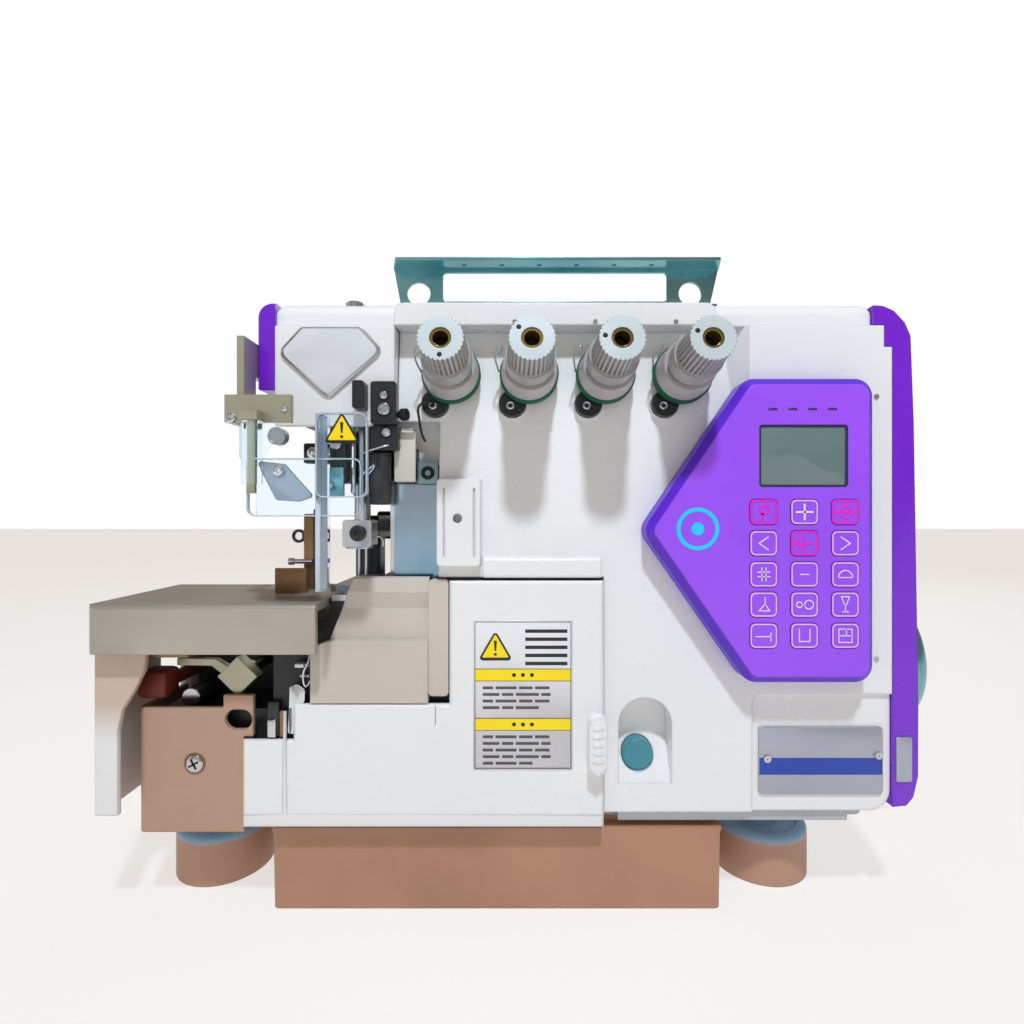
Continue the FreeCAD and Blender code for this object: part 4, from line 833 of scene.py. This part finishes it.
# a cloth guide stands at the left of the foot: a bronze post with a ring, and a folded bronze fence
block("cloth_guide_post", (-101.4, -64.0, 150.4), (-96.0, -60.5, 191.0), tan_bronze, "cloth_plate", 0.6)
block("cloth_guide_edge", (-95.9, -64.6, 150.4), (-93.6, -60.0, 193.5), oiled_black, "cloth_plate", 0.4)
block("cloth_fence", (-111.5, -77.0, 150.4), (-95.2, -75.4, 163.0), tan_bronze, "cloth_plate", 0.4)
bm = bmesh.new()
add_tube(bm, Vector((-104.4, -63.5, 179.0)), Vector((0, 1, 0)), 2.2, 3.7, 2.0, 28, 0.4)
add_block(bm, (-102.6, -63.2, 176.6), (-100.8, -61.8, 181.4), 0.2)
keep("cloth_guide_ring", bm, oiled_black, "cloth_plate")
bm = bmesh.new()
add_turned(bm, Vector((-109.0, -65.4, 165.5)), Vector((1, 0, 0)),
           [(0, 1.2), (0.4, 1.9), (3.0, 1.9), (3.2, 1.3), (13.0, 1.3)], 24)
keep("cloth_guide_pin", bm, polished_steel, "cloth_plate")

# ---------------------------------------------------------------------------------------------
# Eye guard. Clear acrylic plates whose polished edges carry painted highlights, a hazard triangle on the
# front plate, a grey clamp plate with its screw and a steel link down from the bracket.
# The small parts of the needle drive that show through it are made here too.
# ---------------------------------------------------------------------------------------------
# the pale strokes along the plate edges and over the strip's face are painted highlights
guard_edge_highlight = coat_finish("guard_edge_highlight", (0.80, 0.88, 0.95), (0.70, 0.80, 0.90), 0.12, coat=0.5)
guard_edge_highlight.node_tree.nodes["Principled BSDF"].inputs["Transmission Weight"].default_value = 0.35
hook_grey = coat_finish("hook_grey", (0.40, 0.44, 0.48), (0.32, 0.36, 0.40), 0.22, 1500.0, 0.00003, 0.0005, metal=0.5)
guard_y = -127.0
plates = (("eye_guard_wide_edge", rounded_outline(rectangle(-101.6, -53.4, 190.4, 214.6), 3.0), guard_y - 1.06),
          ("eye_guard_front_edge", rounded_outline(rectangle(-71.6, -50.4, 198.4, 233.6), 3.0), guard_y - 3.06))
for name, outline, y in plates:
    bm = bmesh.new()
    add_stroke(bm, outline, 0.55, y, y + 2.12, closed=True)
    keep(name, bm, guard_edge_highlight, "eye_guard")
block("eye_guard_strip_edge", (-72.7, guard_y - 1.1, 158.0), (-72.3, guard_y + 12.0, 234.0), guard_edge_highlight,
      "eye_guard", 0.1)
block("eye_guard_strip_face", (-72.6, guard_y - 1.15, 158.0), (-70.4, guard_y - 0.95, 197.5), guard_edge_highlight,
      "eye_guard", 0.05)
sign_black, sign_yellow = bmesh.new(), bmesh.new()
add_triangle_sign(sign_black, sign_yellow, -60.7, 227.0, 7.8, guard_y - 3.02)
keep("guard_sign_frame", sign_black, print_black, "eye_guard")
keep("guard_sign_field", sign_yellow, print_yellow, "eye_guard")
clamp_outline = [(-99.0, 214.0), (-86.5, 212.6), (-79.0, 204.0), (-74.0, 198.6), (-80.5, 196.4), (-90.0, 197.0)]
bm = bmesh.new()
add_slab(bm, rounded_outline(clamp_outline, 1.2, 3), guard_y + 1.1, guard_y + 2.5, 0.3)
keep("guard_clamp_plate", bm, hook_grey, "eye_guard")
bm = bmesh.new()
add_screw_head(bm, (-88.6, guard_y + 1.1, 209.6), FRONT, 2.3, 2.6, 1.1)
keep("guard_clamp_screw", bm, polished_steel, "eye_guard")
ear_outline = [(-107.5, 230.6), (-96.5, 230.6), (-90.0, 229.0), (-95.0, 218.0), (-97.6, 213.4), (-103.4, 209.4),
               (-107.5, 216.0)]
bm = bmesh.new()
add_slab(bm, rounded_outline(ear_outline, 1.4, 3), guard_y + 4.4, guard_y + 5.4, 0.25)
keep("guard_hanger", bm, guard_plastic, "eye_guard")
bm = bmesh.new()
add_turned(bm, Vector((-89.8, guard_y + 5.0, 224.6)), FRONT,
           [(0, 3.8), (4.6, 3.8), (5.0, 3.4), (5.0, 2.9), (4.7, 2.8), (4.7, 0)], 32)
keep("guard_thumb_nut", bm, hook_grey, "eye_guard")
for name, low, high, finish in (
        ("guard_back_block", (-80.0, -92.0, 206.0), (-69.8, -82.0, 233.0), oiled_black),
        ("guard_back_arm", (-92.0, -90.0, 216.0), (-80.0, -84.0, 226.0), oiled_black),
        ("guard_back_plate", (-84.0, -93.6, 199.0), (-70.6, -92.0, 214.0), teal_steel),
        ("guard_back_link", (-69.0, -89.0, 201.0), (-66.4, -87.0, 214.0), polished_steel)):
    block(name, low, high, finish, "machine_body", 1.0)
bm = bmesh.new()
add_turned(bm, Vector((-75.0, -92.0, 226.0)), FRONT, [(0, 3.6), (2.0, 3.6), (2.5, 3.1), (2.5, 0)], 28)
add_turned(bm, Vector((-78.0, -93.6, 205.0)), FRONT, [(0, 2.0), (1.2, 2.0), (1.5, 1.6), (1.5, 0)], 24)
add_turned(bm, Vector((-86.5, -90.0, 221.0)), FRONT, [(0, 3.0), (1.6, 3.0), (2.0, 2.5), (2.0, 0)], 28)
keep("guard_back_pins", bm, polished_steel, "machine_body")
bm = bmesh.new()
add_screw_head(bm, (-110.6, -123.0, 232.6), FRONT, 2.2, 1.6, 0.9)
add_screw_head(bm, (-87.6, -123.0, 237.0), FRONT, 1.6, 1.0, 0.7)
keep("guard_bracket_screws", bm, polished_steel, "machine_body")

# ---------------------------------------------------------------------------------------------
# Side bed details. A red rubber buffer, the bright end of the feed shaft, a small clip, a hand
# release blade and a bronze strip sit in the dark cavity under the cloth plate.
# ---------------------------------------------------------------------------------------------
buffer_red = coat_finish("buffer_red", (0.22, 0.028, 0.012), (0.12, 0.014, 0.006), 0.5, 1200.0, 0.00008, 0.0010)
box_cover_face = node_box("side_box_cover")[0].y
bm = bmesh.new()
add_block(bm, (-169.8, -97.0, 101.6), (-155.4, -84.0, 115.4), 2.6)
add_block(bm, (-160.0, -86.0, 106.0), (-156.0, -62.0, 112.0), 0.6)
keep("rubber_buffer", bm, buffer_red, "machine_body")
bm = bmesh.new()
add_turned(bm, Vector((-147.0, -89.9, 101.0)), FRONT, [(0, 4.45), (0.5, 4.45), (0.8, 4.1), (0.8, 0.0)], 28)
keep("feed_shaft_end", bm, eyelet_steel, "machine_body")
block("cavity_strip", (-162.0, -104.0, 123.8), (-140.6, -98.0, 127.2), tan_bronze, "cloth_plate", 0.4)
block("bed_clip_back", (-105.4, -99.4, 85.2), (-100.0, -97.0, 101.5), oiled_black, "machine_body", 0.4)
block("bed_clip", (-104.8, -101.2, 85.2), (-100.8, -99.3, 93.6), eyelet_steel, "machine_body", 0.5)
blade = [(-95.4, 87.0), (-92.2, 86.6), (-90.6, 97.0), (-87.2, 102.6), (-87.0, 108.0), (-90.6, 110.6), (-94.4, 109.4),
         (-94.6, 98.0)]
bm = bmesh.new()
add_slab(bm, rounded_outline(blade, 1.2, 3), -101.0, -99.2, 0.5)
keep("release_blade", bm, polished_steel, "machine_body")
block("blade_spacer", (-99.6, -99.8, 85.0), (-96.6, -98.0, 97.4), tan_bronze, "machine_body", 0.4)
wire("release_spring", [(-84.8, -99.6, 127.0), (-85.0, -101.0, 121.0), (-87.6, -101.4, 117.0), (-88.0, -101.0, 112.0),
                        (-86.6, -100.4, 108.0), (-84.8, -100.0, 112.0)], 0.5, polished_steel, "machine_body")
bm = bmesh.new()
add_turned(bm, Vector((-92.0, -99.5, 119.4)), Vector((1, 0, 0)),
           [(0, 1.5), (0.3, 1.8), (4.4, 1.8), (4.8, 1.0), (6.6, 1.0)], 20)
add_turned(bm, Vector((-90.0, -98.5, 113.8)), Vector((1, 0, 0)), [(0, 0.9), (4.4, 0.9)], 20)
keep("cavity_pins", bm, eyelet_steel, "machine_body")
bm = bmesh.new()
seat = Vector((-139.6, box_cover_face, 72.6))
add_turned(bm, seat + Vector((0, 0.05, 0)), FRONT,
           [(0, 5.1), (0.3, 5.1), (0.45, 4.8), (0.45, 4.3), (0.25, 4.2), (0.25, 0)], 36)
keep("cover_screw_seat", bm, tan_bronze, "machine_body")
bm = bmesh.new()
add_turned(bm, seat + Vector((0, 0.1, 0)), FRONT, [(0, 4.1), (0.7, 4.1), (1.2, 3.6), (1.45, 2.2), (1.5, 0)], 36)
keep("cover_screw_head", bm, eyelet_steel, "machine_body")
# the two slots are dark strokes laid on the head: painted shade for the slots' depth
bm = bmesh.new()
for turn in (28.0, 118.0):
    across = Vector((math.cos(math.radians(turn)), math.sin(math.radians(turn)))) * 2.6
    add_stroke(bm, [(seat.x - across.x, seat.z - across.y), (seat.x + across.x, seat.z + across.y)], 0.9,
               seat.y - 1.52, seat.y - 1.0)
keep("cover_screw_slots", bm, hole_black, "machine_body")

# ---------------------------------------------------------------------------------------------
# Screws. Socket-head screws hold the covers, bracket and castings; each head is turned steel with
# a hexagon socket, blackened on the castings and plated on the painted covers.
# ---------------------------------------------------------------------------------------------
def screw_tree(name):
    """A tree that puts a screw head on every point, facing along the point's own direction."""
    tree = bpy.data.node_groups.new(name, "GeometryNodeTree")
    face = tree.interface
    face.new_socket("Points", in_out="INPUT", socket_type="NodeSocketGeometry")
    for label, value in (("Head Radius", 0.003), ("Head Height", 0.002), ("Socket Radius", 0.0015)):
        face.new_socket(label, in_out="INPUT", socket_type="NodeSocketFloat").default_value = value
    face.new_socket("Finish", in_out="INPUT", socket_type="NodeSocketMaterial")
    face.new_socket("Screws", in_out="OUTPUT", socket_type="NodeSocketGeometry")
    given = tree.nodes.new("NodeGroupInput")
    head = tree.nodes.new("GeometryNodeMeshCylinder")
    head.inputs["Vertices"].default_value = 28
    hollow = tree.nodes.new("GeometryNodeMeshCylinder")
    hollow.inputs["Vertices"].default_value = 6
    lift = tree.nodes.new("ShaderNodeCombineXYZ")
    tree.links.new(given.outputs["Head Radius"], head.inputs["Radius"])
    tree.links.new(given.outputs["Head Height"], head.inputs["Depth"])
    tree.links.new(given.outputs["Socket Radius"], hollow.inputs["Radius"])
    tree.links.new(given.outputs["Head Height"], hollow.inputs["Depth"])
    tree.links.new(given.outputs["Head Height"], lift.inputs["Z"])
    raised = tree.nodes.new("GeometryNodeTransform")
    tree.links.new(hollow.outputs["Mesh"], raised.inputs["Geometry"])
    half = tree.nodes.new("ShaderNodeVectorMath")
    half.operation = "SCALE"
    half.inputs["Scale"].default_value = 0.45
    tree.links.new(lift.outputs["Vector"], half.inputs[0])
    tree.links.new(half.outputs["Vector"], raised.inputs["Translation"])
    cut = tree.nodes.new("GeometryNodeMeshBoolean")
    cut.operation = "DIFFERENCE"
    tree.links.new(head.outputs["Mesh"], cut.inputs["Mesh 1"])
    tree.links.new(raised.outputs["Geometry"], cut.inputs["Mesh 2"])
    facing = tree.nodes.new("GeometryNodeInputNamedAttribute")
    facing.data_type = "FLOAT_VECTOR"
    facing.inputs["Name"].default_value = "facing"
    turn = tree.nodes.new("FunctionNodeAlignRotationToVector")
    turn.axis = "Z"
    tree.links.new(facing.outputs["Attribute"], turn.inputs["Vector"])
    copies = tree.nodes.new("GeometryNodeInstanceOnPoints")
    tree.links.new(given.outputs["Points"], copies.inputs["Points"])
    tree.links.new(cut.outputs["Mesh"], copies.inputs["Instance"])
    tree.links.new(turn.outputs["Rotation"], copies.inputs["Rotation"])
    real = tree.nodes.new("GeometryNodeRealizeInstances")
    tree.links.new(copies.outputs["Instances"], real.inputs["Geometry"])
    coat = tree.nodes.new("GeometryNodeSetMaterial")
    tree.links.new(real.outputs["Geometry"], coat.inputs["Geometry"])
    tree.links.new(given.outputs["Finish"], coat.inputs["Material"])
    out = tree.nodes.new("NodeGroupOutput")
    tree.links.new(coat.outputs["Geometry"], out.inputs["Screws"])
    return tree


screw_maker = screw_tree("screw_heads")


def grown(name, holder, tree, values, body):
    """Runs a node tree on a holder and keeps the result as a plain mesh piece."""
    grower = holder.modifiers.new("grow", "NODES")
    grower.node_group = tree
    for item in tree.interface.items_tree:
        if item.in_out == "INPUT" and item.name in values:
            grower[item.identifier] = values[item.name]
    holder.update_tag()
    seen = holder.evaluated_get(bpy.context.evaluated_depsgraph_get())
    mesh = bpy.data.meshes.new_from_object(seen)
    mesh.name = name
    holder.modifiers.remove(grower)
    bpy.data.objects.remove(holder)
    piece = bpy.data.objects.new(name, mesh)
    bpy.context.collection.objects.link(piece)
    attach(piece, body)
    return piece


def screws(name, places, facing, radius, height, socket, material, body):
    """Screw heads seated at the given places, in millimetres, all facing one way."""
    points = bpy.data.meshes.new(name + "_points")
    out = Vector(facing).normalized()
    points.from_pydata([(Vector(p) + out * height / 2) * MM for p in places], [], [])
    heading = points.attributes.new("facing", "FLOAT_VECTOR", "POINT")
    for item in heading.data:
        item.vector = out
    holder = bpy.data.objects.new(name + "_points", points)
    bpy.context.collection.objects.link(holder)
    values = {"Head Radius": radius * MM, "Head Height": height * MM, "Socket Radius": socket * MM,
              "Finish": material}
    return grown(name, holder, screw_maker, values, body)


low, high = node_box("rear_cover")
edge_gap = 10
corners = [(x, high.y, z) for x in (low.x + edge_gap, high.x - edge_gap)
           for z in (low.z + edge_gap, (low.z + high.z) / 2, high.z - edge_gap)]
screws("rear_cover_screws", corners, (0, 1, 0), 3.6, 2.0, 1.7, eyelet_steel, "machine_body")
low, high = node_box("top_cover")
tops = [(x, y, high.z) for x in (low.x + 70, high.x - 16) for y in (low.y + 50, high.y - 16)]
screws("top_cover_screws", tops, (0, 0, 1), 3.6, 1.8, 1.7, eyelet_steel, "machine_body")
low, high = node_box("right_end_cover")
side_screws = [(high.x - 3.2, y, 262.0) for y in (low.y + 26, high.y - 20)] \
    + [(high.x - 0.2, y, 78.0) for y in (low.y + 24, high.y - 18)]
screws("end_cover_screws", side_screws, (1, 0, 0.02), 4.0, 2.0, 1.9, eyelet_steel, "machine_body")
low, high = node_box("left_end_cover")
screws("left_cover_screws", [(low.x, y, 271.0) for y in (low.y + 60, high.y - 14)], (-1, 0, 0), 3.0, 1.6, 1.4,
       eyelet_steel, "machine_body")
low, high = node_box("handwheel")
axle = ((low.y + high.y) / 2, (low.z + high.z) / 2)
hub_screws = [(high.x, axle[0] + 16 * math.cos(math.radians(t)), axle[1] + 16 * math.sin(math.radians(t)))
              for t in (90, 210, 330)]
screws("handwheel_screws", hub_screws, (1, 0, 0), 2.6, 0.6, 1.3, black_oxide, "handwheel_drive")
low, high = node_box("thread_guide_bracket")
guide_feet = [(x, low.y + 6.5, low.z + 1.6) for x in (low.x + 18, (low.x + high.x) / 2, high.x - 18)]
screws("guide_bracket_screws", guide_feet, (0, 0, 1), 2.8, 1.6, 1.4, black_oxide, "machine_body")
low, high = node_box("base_frame")
frame_screws = [(x, high.y, 46.0) for x in (-120.0, -40.0, 60.0, 150.0)]
screws("base_frame_screws", frame_screws, (0, 1, 0), 2.4, 1.4, 1.2, black_oxide, "machine_body")
low, high = node_box("bed_casting")
bed_screws = [(x, high.y, z) for z in (60.0, 128.0) for x in (-92.0, -60.0)]
screws("bed_plate_screws", bed_screws, (0, 1, 0), 3.2, 2.2, 1.6, eyelet_steel, "machine_body")
screws("head_screws", [(-96.0, -72.0, 293.0), (-60.0, -72.0, 293.0)], (0, 0, 1), 3.4, 1.8, 1.6, eyelet_steel,
       "machine_body")
screws("panel_screws", [(184.6, -99.0, 247.0), (184.6, -99.0, 122.0)], (0, -1, 0), 1.2, 0.5, 0.6, eyelet_steel,
       "machine_body")
rivets = [(132.8, fascia_face - 1.0, 74.2), (185.9, fascia_face - 1.0, 75.8)]
screws("badge_rivets", rivets, (0, -1, 0), 1.75, 0.9, 0.35, eyelet_steel, "machine_body")
low, high = node_box("needle_plate")
plate_screws = [(low.x + 5, y, 152.0) for y in (low.y + 8, low.y + 53)]
screws("needle_plate_screws", plate_screws, (0, 0, 1), 1.9, 0.5, 0.9, polished_steel, "machine_body")

# ---------------------------------------------------------------------------------------------
# Strip screws and head screw. Four small steel screws in a row hold the upper front strip, and one
# round thumb screw with a stepped head holds the top cover above the needle drive.
# ---------------------------------------------------------------------------------------------
low, high = node_box("upper_front_strip")
strip_places = [(low.x + (high.x - low.x) * (n + 0.5) / 4, low.y, low.z + 1.6) for n in range(4)]
screws("strip_screws", strip_places, (0, -1, 0), 1.1, 0.4, 0.5, eyelet_steel, "machine_body")
low, high = node_box("top_cover")
bm = bmesh.new()
add_turned(bm, Vector((-67.5, -85.0, high.z - 0.2)), Vector((0, 0, 1)),
           [(0, 2.6), (0.8, 2.6), (0.8, 4.3), (3.4, 4.3), (3.8, 3.9), (3.8, 0)], 32)
for turn in range(16):
    angle = 2 * math.pi * turn / 16
    place = Vector((-67.5 + 4.25 * math.cos(angle), -85.0 + 4.25 * math.sin(angle), high.z + 0.7))
    add_block(bm, (place.x - 0.3, place.y - 0.3, place.z), (place.x + 0.3, place.y + 0.3, place.z + 2.4), 0.1)
keep("head_thumb_screw", bm, polished_steel, "machine_body")
